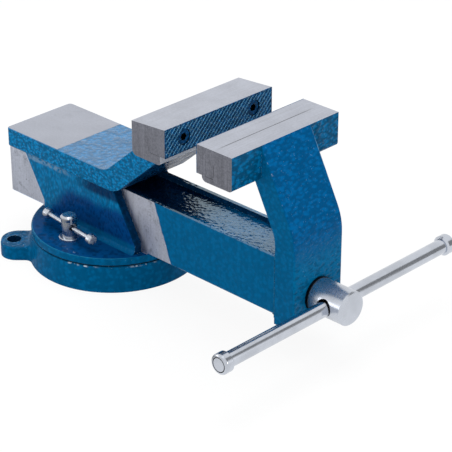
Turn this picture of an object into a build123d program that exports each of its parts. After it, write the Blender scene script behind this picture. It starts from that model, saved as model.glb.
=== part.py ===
from build123d import *
import os
from math import atan2, cos, degrees, hypot, radians, sin, tan

# Swivel bench vise, in millimetres. The origin is on the swivel axis at bench level, +X runs along
# the slide towards the handle, +Y across the jaws and +Z up. The jaws stand open by jaw_gap.

os.makedirs("parts", exist_ok=True)

# Clearances, and how far a cut runs past the face that it opens
overrun = 8.0
slide_clearance = 0.3
running_clearance = 0.05
seat_clearance = 0.02
swivel_gap = 0.4
thrust_play = 0.1
rest_gap = 0.1

# Swivel base, bolted to the bench through its lugs
base_step = 2.5
base_draft_angle = 6.0
base_height = 24.0
base_edge = 1.5
lug_count = 2
lug_angle = 44.0
bolt_reach = 14.0
bolt_hole = 13.0
lug_width = 35.0
lug_end = 12.0
lug_corner = 15.0
lug_thickness = 12.6
lug_edge = 1.5
lug_blend = 7.0
slot_width = 13.0
slot_lip = 8.0
slot_room_width = 24.0
slot_room_height = 11.0
slot_entry_clearance = 1.0

# Swivel disc and pivot under the fixed half
disc_margin = 5.0
disc_thickness = 7.6
disc_edge = 2.0
rim_relief = 0.9
rim_relief_width = 5.0
pivot_radius = 20.0
pivot_recess_radius = 30.0
pivot_recess_depth = 11.0
pivot_washer_radius = 28.0
pivot_washer_thickness = 4.0
pivot_bolt_size = 12.0
pivot_bolt_head_flats = 19.0
pivot_bolt_head_height = 6.0
pivot_bolt_grip = 18.0

# Sliding beam of the moving half
beam_width = 49.3
beam_height = 54.5
beam_rear = 112.0
beam_wall = 9.0
beam_web = 10.0
tray_depth = 5.0
tray_rim = 4.5
beam_edge = 1.0
beam_blend = 4.0

# Housing round the beam
housing_wall = 7.5
housing_offset = 2.0
housing_length = 119.0
housing_knee = 9.0
housing_lean_angle = 30.0
housing_edge = 2.0
housing_blend = 4.0
roof_blend = 5.0
roof_blend_share = 0.57

# Anvil roof, and the arm that rises from it to the fixed jaw
roof_thickness = 17.5
roof_width = 77.0
anvil_rear = 99.0
anvil_corner = 4.0
valley_reach = 32.0
valley_round = 22.0
arm_meet = 9.7
arm_thickness = 21.5
arm_round = 26.0
arm_bite = 4.0
roof_edge = 1.0

# Jaws and their plates
jaw_width = 125.0
jaw_top = 182.0
jaw_gap = 35.3
jaw_reach = 133.2
plate_height = 25.0
plate_thickness = 19.0
plate_corner = 4.0
head_thickness = 20.0
fixed_fall_angle = 4.2
fixed_ledge = 8.0
fixed_ledge_round = 3.0
fixed_head_round = 5.0
moving_fall_angle = 0
moving_ledge = 5.0
moving_ledge_round = 4.5
moving_head_round = 3.0
ledge_setback = 6.0

# Socket screws of the jaw plates
screw_spacing = 81.4
screw_drop = 12.4
screw_size = 8.0
screw_clearance = 0.3
hex_sides = 6
screw_head = 13.0
screw_head_height = 8.0
screw_socket_flats = 6.0
screw_socket_depth = 4.0
screw_grip = 13.0
counterbore = 14.0
counterbore_spare = 1.2

# Upright of the moving half
upright_width = 58.0
upright_thickness = 22.0
brow_run = 36.9
brow_lean_angle = 27.3
brow_round = 50.0
knee_round = 30.0
foot_drop = 6.0
foot_round = 5.0
foot_blend = 5.5
upright_edge = 1.5

# Spindle, its retaining parts and its nut
spindle_rise = 20.0
spindle_head = 30.0
spindle_head_length = 34.0
spindle_head_edge = 1.2
spindle_shaft = 24.0
thread_size = 22.0
thread_relief = 12.0
spindle_rear = 84.0
spindle_point = 2.0
thrust_washer = 31.0
thrust_washer_thickness = 2.4
collar_size = 30.0
collar_length = 12.0
collar_edge = 1.0
pin_size = 5.0
pin_inset = 0.5
nut_back = 8.0
nut_length = 46.0
nut_side_clearance = 0.65
nut_edge = 1.0
nut_screw_size = 6.0
nut_screw_head = 12.0
nut_screw_cone_angle = 90.0
nut_screw_grip = 9.0
nut_screw_side = 10.0
nut_screw_pitch = 26.0

# Handle
handle_size = 13.0
handle_hole = 15.0
handle_inset = 17.2
handle_length = 279.5
handle_shift = 5.25
handle_end_edge = 0.8
cap_size = 17.6
cap_length = 9.5
cap_round_share = 0.9
cap_back_edge = 1.5

# Clamp screws that lock the swivel
clamp_setback = 3.0
clamp_reach_share = 0.429
clamp_washer = 19.0
clamp_washer_thickness = 2.0
clamp_washer_edge = 0.5
clamp_post = 12.5
clamp_post_height = 21.0
clamp_post_edge = 1.5
clamp_shank = 8.0
clamp_shank_spare = 2.0
clamp_hole_height = 10.5
clamp_hole = 7.0
clamp_bar = 4.6
clamp_bar_spread = 65.5
clamp_bar_angle = 6.4
clamp_knob = 9.6
clamp_knob_length = 6.5
clamp_knob_edge = 1.2
clamp_nut_size = 20.0
clamp_nut_height = 8.0
clamp_neck_width = 11.0
clamp_neck_length = 14.0
clamp_neck_drop = 1.5

# Levels
disc_bottom = base_height + swivel_gap
disc_top = disc_bottom + disc_thickness
beam_bottom = disc_top + slide_clearance
beam_top = beam_bottom + beam_height
roof_bottom = beam_top + slide_clearance
roof_top = roof_bottom + roof_thickness
spindle_height = disc_top + spindle_rise
plate_bottom = jaw_top - plate_height
fixed_head_bottom = plate_bottom - fixed_ledge
moving_head_bottom = plate_bottom - moving_ledge
screw_height = jaw_top - screw_drop
foot_bottom = beam_bottom - foot_drop
tray_floor = beam_top - tray_depth
channel_top = tray_floor - beam_web
slot_floor = base_height - slot_lip - slot_room_height
spigot_bottom = pivot_recess_depth - slide_clearance

# Places along the slide
moving_face = jaw_reach + jaw_gap
fixed_head_back = jaw_reach - plate_thickness - head_thickness
moving_head_back = moving_face + plate_thickness + head_thickness
upright_front = moving_head_back + brow_run
upright_rear = upright_front - upright_thickness
housing_front = housing_length / 2 + housing_offset
housing_back = housing_front - housing_length
spindle_head_back = upright_front + thrust_play + thrust_washer_thickness
spindle_front = spindle_head_back + spindle_head_length
handle_place = spindle_front - handle_inset
collar_front = upright_rear - thrust_play

# Widths across the slide
passage_width = beam_width + 2 * slide_clearance
housing_width = passage_width + 2 * housing_wall
channel_width = beam_width - 2 * beam_wall
nut_width = channel_width - 2 * nut_side_clearance

# Places on the swivel
disc_radius = hypot(housing_front, housing_width / 2) + disc_margin
base_radius = disc_radius + base_step
bolt_radius = base_radius + bolt_reach
clamp_reach = housing_width / 2 + (disc_radius - housing_width / 2) * clamp_reach_share
slot_radius = hypot(clamp_setback, clamp_reach)
clamp_turn_angle = degrees(atan2(clamp_reach, -clamp_setback))
clamp_shoulder = disc_top + clamp_washer_thickness
clamp_hole_level = clamp_shoulder + clamp_hole_height
clamp_bar_level = clamp_hole_level - (clamp_hole - clamp_bar) / 2 + rest_gap
clamp_bar_length = clamp_bar_spread + clamp_knob_length
clamp_nut_top = base_height - slot_lip - slide_clearance
clamp_nut_bottom = clamp_nut_top - clamp_nut_height
handle_level = spindle_height - (handle_hole - handle_size) / 2 + rest_gap

# The two sides of the vise, and the way each jaw's head lies from its gripping face
sides = {"near": -1, "far": 1}
fixed_side = -1
moving_side = 1


def keep(piece, name):
    """Labels a finished piece and writes it."""
    piece.part.label = name
    export_step(piece.part, "parts/" + name + ".step")


def along_spindle(x):
    """A plane across the spindle's axis at x, looking towards the handle."""
    return Plane(origin=(x, 0, spindle_height), x_dir=(0, 1, 0), z_dir=(1, 0, 0))


def jaw_face_plane(face, away):
    """A plane on a jaw's gripping face, at the height of its screws and looking out of the jaw."""
    return Plane(origin=(face, 0, screw_height), x_dir=(0, 1, 0), z_dir=(-away, 0, 0))


def clamp_bar_plane(side):
    """A plane across a clamp bar at the middle of its screw."""
    turn = radians(side * clamp_bar_angle)
    return Plane(
        origin=(-clamp_setback, side * clamp_reach, clamp_bar_level),
        x_dir=(-sin(turn), cos(turn), 0),
        z_dir=(cos(turn), sin(turn), 0),
    )


def head_outline(face, away, head_bottom, fall_angle):
    """Side outline of a jaw's head with the seat for its plate."""
    seat = face + away * plate_thickness
    back = seat + away * head_thickness
    lip = face + away * ledge_setback
    fall = tan(radians(fall_angle))
    return [
        (seat, jaw_top - plate_thickness * fall),
        (back, jaw_top - (plate_thickness + head_thickness) * fall),
        (back, head_bottom),
        (lip, head_bottom),
        (lip, plate_bottom),
        (seat, plate_bottom),
    ]


# Swivel base: a drafted ring with two lugs, a round T-slot for the clamp nuts and a pivot bore
lug_tip = bolt_radius + lug_end
lug_length = lug_tip - base_radius + lug_width
with BuildPart() as swivel_base:
    with BuildSketch():
        with PolarLocations(lug_tip - lug_length / 2, lug_count, lug_angle):
            RectangleRounded(lug_length, lug_width, lug_corner)
    extrude(amount=lug_thickness)
    fillet(swivel_base.faces().sort_by(Axis.Z)[-lug_count:].edges(), lug_edge)
    with BuildSketch():
        Circle(base_radius)
    extrude(amount=base_height, taper=base_draft_angle)
    lug_joints = [
        edge
        for edge in swivel_base.edges()
        if base_radius - lug_end < hypot(edge.center().X, edge.center().Y) < base_radius
        and edge.bounding_box().size.Z > 0
        and 0 < edge.center().Z < base_height - base_edge
        and edge.length > lug_blend
    ]
    fillet(lug_joints, lug_blend)
    fillet(swivel_base.edges().group_by(Axis.Z)[-1], base_edge)
    with PolarLocations(bolt_radius, lug_count, lug_angle):
        Hole(bolt_hole / 2)
    with BuildSketch(Plane.XZ):
        with Locations((slot_radius, base_height - slot_lip)):
            Rectangle(slot_width, slot_lip + overrun, align=(Align.CENTER, Align.MIN))
        with Locations((slot_radius, slot_floor)):
            Rectangle(slot_room_width, slot_room_height, align=(Align.CENTER, Align.MIN))
    revolve(axis=Axis.Z, mode=Mode.SUBTRACT)
    with BuildSketch():
        with Locations((-slot_radius, 0)):
            Rectangle(clamp_nut_size + slot_entry_clearance, clamp_nut_size + slot_entry_clearance)
    extrude(amount=slot_floor + slot_room_height / 2, mode=Mode.SUBTRACT)
    Hole(pivot_radius + running_clearance)
    with BuildSketch():
        Circle(pivot_recess_radius)
    extrude(amount=pivot_recess_depth, mode=Mode.SUBTRACT)
keep(swivel_base, "swivel_base")

# Fixed half: swivel disc, housing, anvil roof, arm and fixed jaw head in one casting
arm_meets_head = fixed_head_bottom + arm_meet
arm_rise = (arm_meets_head - roof_top) / (fixed_head_back - valley_reach)
arm_depth = arm_thickness * hypot(1, arm_rise)
arm_root = valley_reach + (arm_depth - roof_thickness) / arm_rise
arm_tip = valley_reach + (fixed_head_bottom - roof_top + arm_depth) / arm_rise
roof_outline = [
    (-anvil_rear, roof_bottom),
    (-anvil_rear, roof_top),
    (valley_reach, roof_top),
    (fixed_head_back + arm_bite, arm_meets_head + arm_bite * arm_rise),
    (arm_tip + arm_bite, fixed_head_bottom + arm_bite * arm_rise),
    (arm_root, roof_bottom),
]
roof_rounds = [0, 0, valley_round, 0, 0, arm_round]
housing_shift = (roof_bottom - disc_top - housing_knee) * tan(radians(housing_lean_angle))
housing_outline = [
    (housing_back, disc_bottom),
    (housing_back, disc_top + housing_knee),
    (housing_back - housing_shift, roof_bottom),
    (housing_front - housing_shift, roof_bottom),
    (housing_front, disc_top + housing_knee),
    (housing_front, disc_bottom),
]
fixed_seat = jaw_reach - plate_thickness
with BuildPart() as fixed_body:
    with BuildSketch(Plane.XZ):
        with BuildLine():
            Polyline(*housing_outline, close=True)
        make_face()
    extrude(amount=housing_width / 2, both=True)
    wall_fronts = fixed_body.edges().filter_by(
        lambda edge: abs(edge.center().Y) > passage_width / 2
        and edge.bounding_box().size.Z > housing_knee * 2
    )
    fillet(wall_fronts, housing_edge)
    with BuildSketch(Plane.XY.offset(disc_bottom)):
        Circle(disc_radius)
    extrude(amount=disc_thickness)
    disc_face = fixed_body.faces().filter_by(Axis.Z).sort_by_distance((0, disc_radius, disc_top))[0]
    fillet(disc_face.outer_wire().edges(), disc_edge)
    with BuildSketch(Plane.XY.offset(disc_bottom)):
        Circle(disc_radius + overrun)
        Circle(disc_radius - rim_relief_width, mode=Mode.SUBTRACT)
    extrude(amount=rim_relief, mode=Mode.SUBTRACT)
    with BuildSketch(Plane.YZ.offset(housing_back)):
        with Locations((0, disc_top)):
            Rectangle(
                housing_width + 2 * housing_blend,
                housing_blend,
                align=(Align.CENTER, Align.MIN),
            )
        for side in sides.values():
            with Locations((side * (housing_width / 2 + housing_blend), disc_top + housing_blend)):
                Circle(housing_blend, mode=Mode.SUBTRACT)
    extrude(amount=housing_length)
    with BuildSketch(Plane.XZ):
        with BuildLine():
            FilletPolyline(*roof_outline, radius=roof_rounds, close=True)
        make_face()
    extrude(amount=roof_width / 2, both=True)
    fillet(
        fixed_body.edges().filter_by(Axis.Z).group_by(Axis.X)[0],
        anvil_corner,
    )
    roof_sides = fixed_body.faces().filter_by(Axis.Y).group_by(Axis.Y)
    fillet((roof_sides[0] + roof_sides[-1]).edges(), roof_edge)
    with BuildSketch(Plane.YZ.offset(housing_back - housing_shift + housing_edge + roof_blend)):
        with Locations((0, roof_bottom)):
            Rectangle(
                housing_width + 2 * roof_blend,
                roof_blend,
                align=(Align.CENTER, Align.MAX),
            )
        for side in sides.values():
            with Locations((side * (housing_width / 2 + roof_blend), roof_bottom - roof_blend)):
                Circle(roof_blend, mode=Mode.SUBTRACT)
    extrude(amount=housing_length * roof_blend_share)
    with BuildSketch(Plane.XZ):
        with BuildLine():
            FilletPolyline(
                *head_outline(jaw_reach, fixed_side, fixed_head_bottom, fixed_fall_angle),
                radius=[0, 0, fixed_head_round, fixed_ledge_round, 0, plate_corner],
                close=True,
            )
        make_face()
    extrude(amount=jaw_width / 2, both=True)
    with BuildSketch(Plane.XY.offset(disc_top)):
        with Locations((housing_back - housing_shift - overrun, 0)):
            Rectangle(
                housing_length + housing_shift + 2 * overrun,
                passage_width,
                align=(Align.MIN, Align.CENTER),
            )
    extrude(amount=roof_bottom - disc_top, mode=Mode.SUBTRACT)
    with BuildSketch(Plane.XY.offset(disc_bottom)):
        Circle(pivot_radius)
    extrude(amount=spigot_bottom - disc_bottom)
    with BuildSketch(Plane.XY.offset(spigot_bottom)):
        Circle(pivot_bolt_size / 2 + seat_clearance)
    extrude(amount=pivot_bolt_grip + seat_clearance, mode=Mode.SUBTRACT)
    with BuildSketch(Plane.XY.offset(disc_bottom)):
        with Locations((-clamp_setback, clamp_reach), (-clamp_setback, -clamp_reach)):
            Circle(clamp_shank / 2 + running_clearance)
    extrude(amount=disc_thickness, mode=Mode.SUBTRACT)
    with Locations(Plane(origin=(0, 0, disc_bottom), x_dir=(1, 0, 0), z_dir=(0, 0, -1))):
        with Locations((nut_back + nut_length / 2, 0)):
            with GridLocations(nut_screw_pitch, 2 * nut_screw_side, 2, 2):
                CounterSinkHole(
                    nut_screw_size / 2 + screw_clearance,
                    nut_screw_head / 2 + screw_clearance,
                    depth=disc_thickness,
                    counter_sink_angle=nut_screw_cone_angle,
                )
    with BuildSketch(jaw_face_plane(fixed_seat, fixed_side)):
        with Locations((-screw_spacing / 2, 0), (screw_spacing / 2, 0)):
            Circle(screw_size / 2 + seat_clearance)
    extrude(amount=-screw_grip - seat_clearance, mode=Mode.SUBTRACT)
keep(fixed_body, "fixed_body")

# Moving half: hollow beam with a tray along its top, upright, foot and moving jaw head in one casting
brow_fall = brow_run / tan(radians(brow_lean_angle))
lean_depth = upright_thickness / cos(radians(brow_lean_angle))
upright_top_rear = moving_head_back - lean_depth
knee_fall = (upright_rear - upright_top_rear) / tan(radians(brow_lean_angle))
root_fall = plate_height / 2
upright_outline = [
    (moving_head_back, jaw_top),
    (upright_front, jaw_top - brow_fall),
    (upright_front, foot_bottom),
    (upright_rear, foot_bottom),
    (upright_rear, jaw_top - knee_fall),
    (upright_top_rear + root_fall * tan(radians(brow_lean_angle)), jaw_top - root_fall),
]
upright_rounds = [0, brow_round, foot_round, 0, knee_round, 0]
moving_seat = moving_face + plate_thickness
with BuildPart() as moving_jaw:
    with BuildSketch(Plane.XZ):
        with BuildLine():
            FilletPolyline(*upright_outline, radius=upright_rounds, close=True)
        make_face()
    extrude(amount=upright_width / 2, both=True)
    fillet(moving_jaw.faces().filter_by(Axis.Y).edges(), upright_edge)
    with BuildSketch(Plane.XZ):
        with BuildLine():
            FilletPolyline(
                *head_outline(moving_face, moving_side, moving_head_bottom, moving_fall_angle),
                radius=[0, 0, moving_head_round, moving_ledge_round, 0, plate_corner],
                close=True,
            )
        make_face()
    extrude(amount=jaw_width / 2, both=True)
    with BuildSketch(Plane.YZ.offset(-beam_rear)) as beam_section:
        with Locations((0, beam_bottom)):
            Rectangle(beam_width, beam_height, align=(Align.CENTER, Align.MIN))
        chamfer(beam_section.vertices(), beam_edge)
    extrude(amount=beam_rear + upright_rear + upright_thickness / 2)
    with BuildSketch(Plane.XY.offset(beam_bottom)):
        with Locations((upright_rear, 0)):
            Rectangle(
                beam_blend,
                beam_width + 2 * beam_blend,
                align=(Align.MAX, Align.CENTER),
            )
        for side in sides.values():
            with Locations((upright_rear - beam_blend, side * (beam_width / 2 + beam_blend))):
                Circle(beam_blend, mode=Mode.SUBTRACT)
    extrude(amount=beam_height)
    with BuildSketch(Plane.XZ):
        with Locations((upright_rear, beam_bottom)):
            Rectangle(foot_blend, foot_blend, align=(Align.MAX, Align.MAX))
        with Locations((upright_rear - foot_blend, beam_bottom - foot_blend)):
            Circle(foot_blend, mode=Mode.SUBTRACT)
    extrude(amount=beam_width / 2, both=True)
    with BuildSketch(Plane.XY.offset(beam_top)):
        with Locations((-beam_rear - overrun, 0)):
            Rectangle(
                beam_rear + overrun + upright_rear - tray_rim,
                beam_width - 2 * tray_rim,
                align=(Align.MIN, Align.CENTER),
            )
    extrude(amount=-tray_depth, mode=Mode.SUBTRACT)
    with BuildSketch(Plane.XY.offset(beam_bottom - overrun)):
        with Locations((-beam_rear - overrun, 0)):
            Rectangle(
                beam_rear + overrun + upright_rear,
                channel_width,
                align=(Align.MIN, Align.CENTER),
            )
    extrude(amount=channel_top - beam_bottom + overrun, mode=Mode.SUBTRACT)
    with BuildSketch(along_spindle(upright_rear - overrun)):
        Circle(spindle_shaft / 2 + running_clearance)
    extrude(amount=upright_thickness + 2 * overrun, mode=Mode.SUBTRACT)
    with BuildSketch(jaw_face_plane(moving_seat, moving_side)):
        with Locations((-screw_spacing / 2, 0), (screw_spacing / 2, 0)):
            Circle(screw_size / 2 + seat_clearance)
    extrude(amount=-screw_grip - seat_clearance, mode=Mode.SUBTRACT)
keep(moving_jaw, "moving_jaw")


# Jaw plates, each with two counterbored holes, and their socket screws
def jaw_plate(face, away, fall_angle):
    """A jaw plate with its gripping face at x = face and its body lying the other way."""
    seat = face + away * plate_thickness
    outline = [
        (face, jaw_top),
        (seat, jaw_top - plate_thickness * tan(radians(fall_angle))),
        (seat, plate_bottom),
        (face, plate_bottom),
    ]
    with BuildPart() as plate:
        with BuildSketch(Plane.XZ):
            with BuildLine():
                FilletPolyline(*outline, radius=[0, 0, plate_corner + slide_clearance, 0], close=True)
            make_face()
        extrude(amount=jaw_width / 2, both=True)
        with Locations(jaw_face_plane(face, away)):
            with Locations((-screw_spacing / 2, 0), (screw_spacing / 2, 0)):
                CounterBoreHole(
                    screw_size / 2 + screw_clearance,
                    counterbore / 2,
                    screw_head_height + counterbore_spare,
                )
    return plate


def jaw_screws(face, away):
    """The two socket screws of a jaw plate, with their heads sunk below the gripping face."""
    head_seat = jaw_face_plane(face, away).offset(-screw_head_height - counterbore_spare)
    shank_length = plate_thickness - screw_head_height - counterbore_spare + screw_grip
    with BuildPart() as screws:
        with BuildSketch(head_seat):
            with Locations((-screw_spacing / 2, 0), (screw_spacing / 2, 0)):
                Circle(screw_head / 2)
        extrude(amount=screw_head_height)
        with BuildSketch(head_seat):
            with Locations((-screw_spacing / 2, 0), (screw_spacing / 2, 0)):
                Circle(screw_size / 2)
        extrude(amount=-shank_length)
        with BuildSketch(head_seat.offset(screw_head_height)):
            with Locations((-screw_spacing / 2, 0), (screw_spacing / 2, 0)):
                RegularPolygon(screw_socket_flats / 2, hex_sides, major_radius=False)
        extrude(amount=-screw_socket_depth, mode=Mode.SUBTRACT)
    return screws


keep(jaw_plate(jaw_reach, fixed_side, fixed_fall_angle), "fixed_jaw_plate")
keep(jaw_screws(jaw_reach, fixed_side), "fixed_jaw_screws")
keep(jaw_plate(moving_face, moving_side, moving_fall_angle), "moving_jaw_plate")
keep(jaw_screws(moving_face, moving_side), "moving_jaw_screws")

# Pivot bolt and washer, which hold the fixed half down on the base from below
pivot_head_top = spigot_bottom - pivot_washer_thickness
with BuildPart() as pivot_washer:
    with BuildSketch(Plane.XY.offset(spigot_bottom)):
        Circle(pivot_washer_radius)
        Circle(pivot_bolt_size / 2 + screw_clearance, mode=Mode.SUBTRACT)
    extrude(amount=-pivot_washer_thickness)
keep(pivot_washer, "pivot_washer")

with BuildPart() as pivot_bolt:
    with BuildSketch(Plane.XY.offset(pivot_head_top)):
        RegularPolygon(pivot_bolt_head_flats / 2, hex_sides, major_radius=False)
    extrude(amount=-pivot_bolt_head_height)
    with BuildSketch(Plane.XY.offset(pivot_head_top)):
        Circle(pivot_bolt_size / 2)
    extrude(amount=pivot_washer_thickness + pivot_bolt_grip)
keep(pivot_bolt, "pivot_bolt")

# Spindle nut, which stands on the disc inside the beam, and its countersunk screws from below
nut_middle = nut_back + nut_length / 2
with BuildPart() as spindle_nut:
    with BuildSketch(along_spindle(nut_back)):
        Circle(nut_width / 2)
        Rectangle(nut_width, spindle_rise, align=(Align.CENTER, Align.MAX))
    extrude(amount=nut_length)
    chamfer(spindle_nut.faces().filter_by(Axis.X).edges().filter_by(GeomType.CIRCLE), nut_edge)
    with BuildSketch(along_spindle(nut_back)):
        Circle(thread_size / 2 + running_clearance)
    extrude(amount=nut_length, mode=Mode.SUBTRACT)
    with BuildSketch(Plane.XY.offset(disc_top)):
        with Locations((nut_middle, 0)):
            with GridLocations(nut_screw_pitch, 2 * nut_screw_side, 2, 2):
                Circle(nut_screw_size / 2 + seat_clearance)
    extrude(amount=nut_screw_grip + seat_clearance, mode=Mode.SUBTRACT)
keep(spindle_nut, "spindle_nut")

with BuildPart() as spindle_nut_screws:
    with BuildSketch(Plane.XY.offset(disc_bottom)):
        with Locations((nut_middle, 0)):
            with GridLocations(nut_screw_pitch, 2 * nut_screw_side, 2, 2):
                Circle(nut_screw_size / 2)
    extrude(amount=disc_thickness + nut_screw_grip)
    with BuildSketch(Plane.XY.offset(disc_bottom)):
        with Locations((nut_middle, 0)):
            with GridLocations(nut_screw_pitch, 2 * nut_screw_side, 2, 2):
                Circle(nut_screw_head / 2)
    extrude(
        amount=(nut_screw_head - nut_screw_size) / 2,
        taper=nut_screw_cone_angle / 2,
    )
keep(spindle_nut_screws, "spindle_nut_screws")

# Spindle: head with the handle's hole, shaft, and a thread drawn as a plain cylinder of its outer size
with BuildPart() as spindle:
    with BuildSketch(along_spindle(spindle_head_back)):
        Circle(spindle_head / 2)
    extrude(amount=spindle_head_length)
    chamfer(spindle.edges().group_by(Axis.X)[-1], spindle_head_edge)
    with BuildSketch(along_spindle(spindle_head_back)):
        Circle(spindle_shaft / 2)
    extrude(amount=collar_front - collar_length - thread_relief - spindle_head_back)
    with BuildSketch(along_spindle(-spindle_rear)):
        Circle(thread_size / 2)
    extrude(amount=spindle_rear + collar_front - collar_length - thread_relief)
    chamfer(spindle.edges().group_by(Axis.X)[0], spindle_point)
    with BuildSketch(Plane.XZ):
        with Locations((handle_place, spindle_height)):
            Circle(handle_hole / 2)
    extrude(amount=spindle_head, both=True, mode=Mode.SUBTRACT)
    with BuildSketch(Plane.XY.offset(spindle_height)):
        with Locations((collar_front - collar_length / 2, 0)):
            Circle(pin_size / 2 + seat_clearance)
    extrude(amount=spindle_shaft, both=True, mode=Mode.SUBTRACT)
keep(spindle, "spindle")

with BuildPart() as spindle_washer:
    with BuildSketch(along_spindle(upright_front + thrust_play)):
        Circle(thrust_washer / 2)
        Circle(spindle_shaft / 2 + seat_clearance, mode=Mode.SUBTRACT)
    extrude(amount=thrust_washer_thickness)
keep(spindle_washer, "spindle_washer")

with BuildPart() as spindle_collar:
    with BuildSketch(along_spindle(collar_front)):
        Circle(collar_size / 2)
        Circle(spindle_shaft / 2 + seat_clearance, mode=Mode.SUBTRACT)
    extrude(amount=-collar_length)
    chamfer(
        spindle_collar.edges().filter_by(GeomType.CIRCLE).group_by(SortBy.RADIUS)[-1],
        collar_edge,
    )
    with BuildSketch(Plane.XY.offset(spindle_height)):
        with Locations((collar_front - collar_length / 2, 0)):
            Circle(pin_size / 2 + seat_clearance)
    extrude(amount=collar_size, both=True, mode=Mode.SUBTRACT)
keep(spindle_collar, "spindle_collar")

with BuildPart() as collar_pin:
    with BuildSketch(Plane.XY.offset(spindle_height)):
        with Locations((collar_front - collar_length / 2, 0)):
            Circle(pin_size / 2)
    extrude(amount=collar_size / 2 - pin_inset, both=True)
keep(collar_pin, "collar_pin")

# Handle bar, which lies in the bottom of its hole, and a cap pressed on each end
handle_plane = Plane(origin=(handle_place, handle_shift, handle_level), x_dir=(1, 0, 0), z_dir=(0, 1, 0))
with BuildPart() as handle_bar:
    with BuildSketch(handle_plane):
        Circle(handle_size / 2)
    extrude(amount=handle_length / 2, both=True)
    chamfer(handle_bar.edges().filter_by(GeomType.CIRCLE), handle_end_edge)
keep(handle_bar, "handle_bar")


def handle_cap(side):
    """A round cap, domed at its outer end, with the bar's end showing in it."""
    with BuildPart() as cap:
        with BuildSketch(handle_plane.offset(side * (handle_length / 2 - cap_length))):
            Circle(cap_size / 2)
        extrude(amount=side * cap_length)
        outer_last = cap.edges().filter_by(GeomType.CIRCLE).sort_by(Axis.Y, reverse=side < 0)
        chamfer(outer_last[0], cap_back_edge)
        outer_last = cap.edges().filter_by(GeomType.CIRCLE).sort_by(Axis.Y, reverse=side < 0)
        fillet(outer_last[-1], (cap_size - handle_size) / 2 * cap_round_share)
        with BuildSketch(handle_plane):
            Circle(handle_size / 2 + seat_clearance)
        extrude(amount=handle_length, both=True, mode=Mode.SUBTRACT)
    return cap


for name, side in (("left", -1), ("right", 1)):
    keep(handle_cap(side), "handle_cap_" + name)


# Clamp screws, one each side: a T-nut in the base's slot, a washer, the screw, its bar and the bar's knobs
def clamp_nut(side):
    """A square nut under the slot's lips, with a neck that keeps it from turning."""
    with BuildPart() as nut:
        with BuildSketch(Plane.XY.offset(clamp_nut_bottom)):
            with PolarLocations(slot_radius, 1, side * clamp_turn_angle):
                Rectangle(clamp_nut_size, clamp_nut_size)
        extrude(amount=clamp_nut_height)
        with BuildSketch(Plane.XY.offset(clamp_nut_top)):
            with PolarLocations(slot_radius, 1, side * clamp_turn_angle):
                Rectangle(clamp_neck_width, clamp_neck_length)
        extrude(amount=base_height - clamp_neck_drop - clamp_nut_top)
        with BuildSketch(Plane.XY.offset(clamp_nut_bottom)):
            with PolarLocations(slot_radius, 1, side * clamp_turn_angle):
                Circle(clamp_shank / 2 + running_clearance)
        extrude(amount=base_height, mode=Mode.SUBTRACT)
    return nut


def clamp_washer_ring(side):
    """The washer under a clamp screw's shoulder."""
    with BuildPart() as washer:
        with BuildSketch(Plane.XY.offset(disc_top)):
            with Locations((-clamp_setback, side * clamp_reach)):
                Circle(clamp_washer / 2)
                Circle(clamp_shank / 2 + running_clearance, mode=Mode.SUBTRACT)
        extrude(amount=clamp_washer_thickness)
        chamfer(
            washer.edges().group_by(Axis.Z)[-1].sort_by(SortBy.LENGTH)[-1],
            clamp_washer_edge,
        )
    return washer


def clamp_screw(side):
    """A clamp screw: threaded shank below, round post with a cross hole above."""
    with BuildPart() as screw:
        with BuildSketch(Plane.XY.offset(clamp_shoulder + thrust_play)):
            with Locations((-clamp_setback, side * clamp_reach)):
                Circle(clamp_post / 2)
        extrude(amount=clamp_post_height - thrust_play)
        chamfer(screw.edges().group_by(Axis.Z)[-1], clamp_post_edge)
        with BuildSketch(Plane.XY.offset(clamp_nut_bottom - clamp_shank_spare)):
            with Locations((-clamp_setback, side * clamp_reach)):
                Circle(clamp_shank / 2)
        extrude(amount=clamp_shoulder + thrust_play - clamp_nut_bottom + clamp_shank_spare)
        with BuildSketch(clamp_bar_plane(side)):
            with Locations((0, clamp_hole_level - clamp_bar_level)):
                Circle(clamp_hole / 2)
        extrude(amount=clamp_post, both=True, mode=Mode.SUBTRACT)
    return screw


def clamp_bar_rod(side):
    """The bar through a clamp screw's post."""
    with BuildPart() as rod:
        with BuildSketch(clamp_bar_plane(side)):
            Circle(clamp_bar / 2)
        extrude(amount=clamp_bar_length / 2, both=True)
    return rod


def clamp_bar_knobs(side):
    """The two knobs pressed on a clamp bar's ends."""
    middle = clamp_bar_plane(side)
    with BuildPart() as knobs:
        for end in (-1, 1):
            with BuildSketch(middle.offset(end * clamp_bar_spread / 2 - clamp_knob_length / 2)):
                Circle(clamp_knob / 2)
            extrude(amount=clamp_knob_length)
        chamfer(knobs.edges().filter_by(GeomType.CIRCLE), clamp_knob_edge)
        with BuildSketch(middle):
            Circle(clamp_bar / 2 + seat_clearance)
        extrude(amount=clamp_bar_length, both=True, mode=Mode.SUBTRACT)
    return knobs


for name, side in sides.items():
    keep(clamp_nut(side), "clamp_nut_" + name)
    keep(clamp_washer_ring(side), "clamp_washer_" + name)
    keep(clamp_screw(side), "clamp_screw_" + name)
    keep(clamp_bar_rod(side), "clamp_bar_" + name)
    keep(clamp_bar_knobs(side), "clamp_bar_knobs_" + name)
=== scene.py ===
"""Looks of a swivel bench vise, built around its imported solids. Lengths are in metres."""

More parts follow.
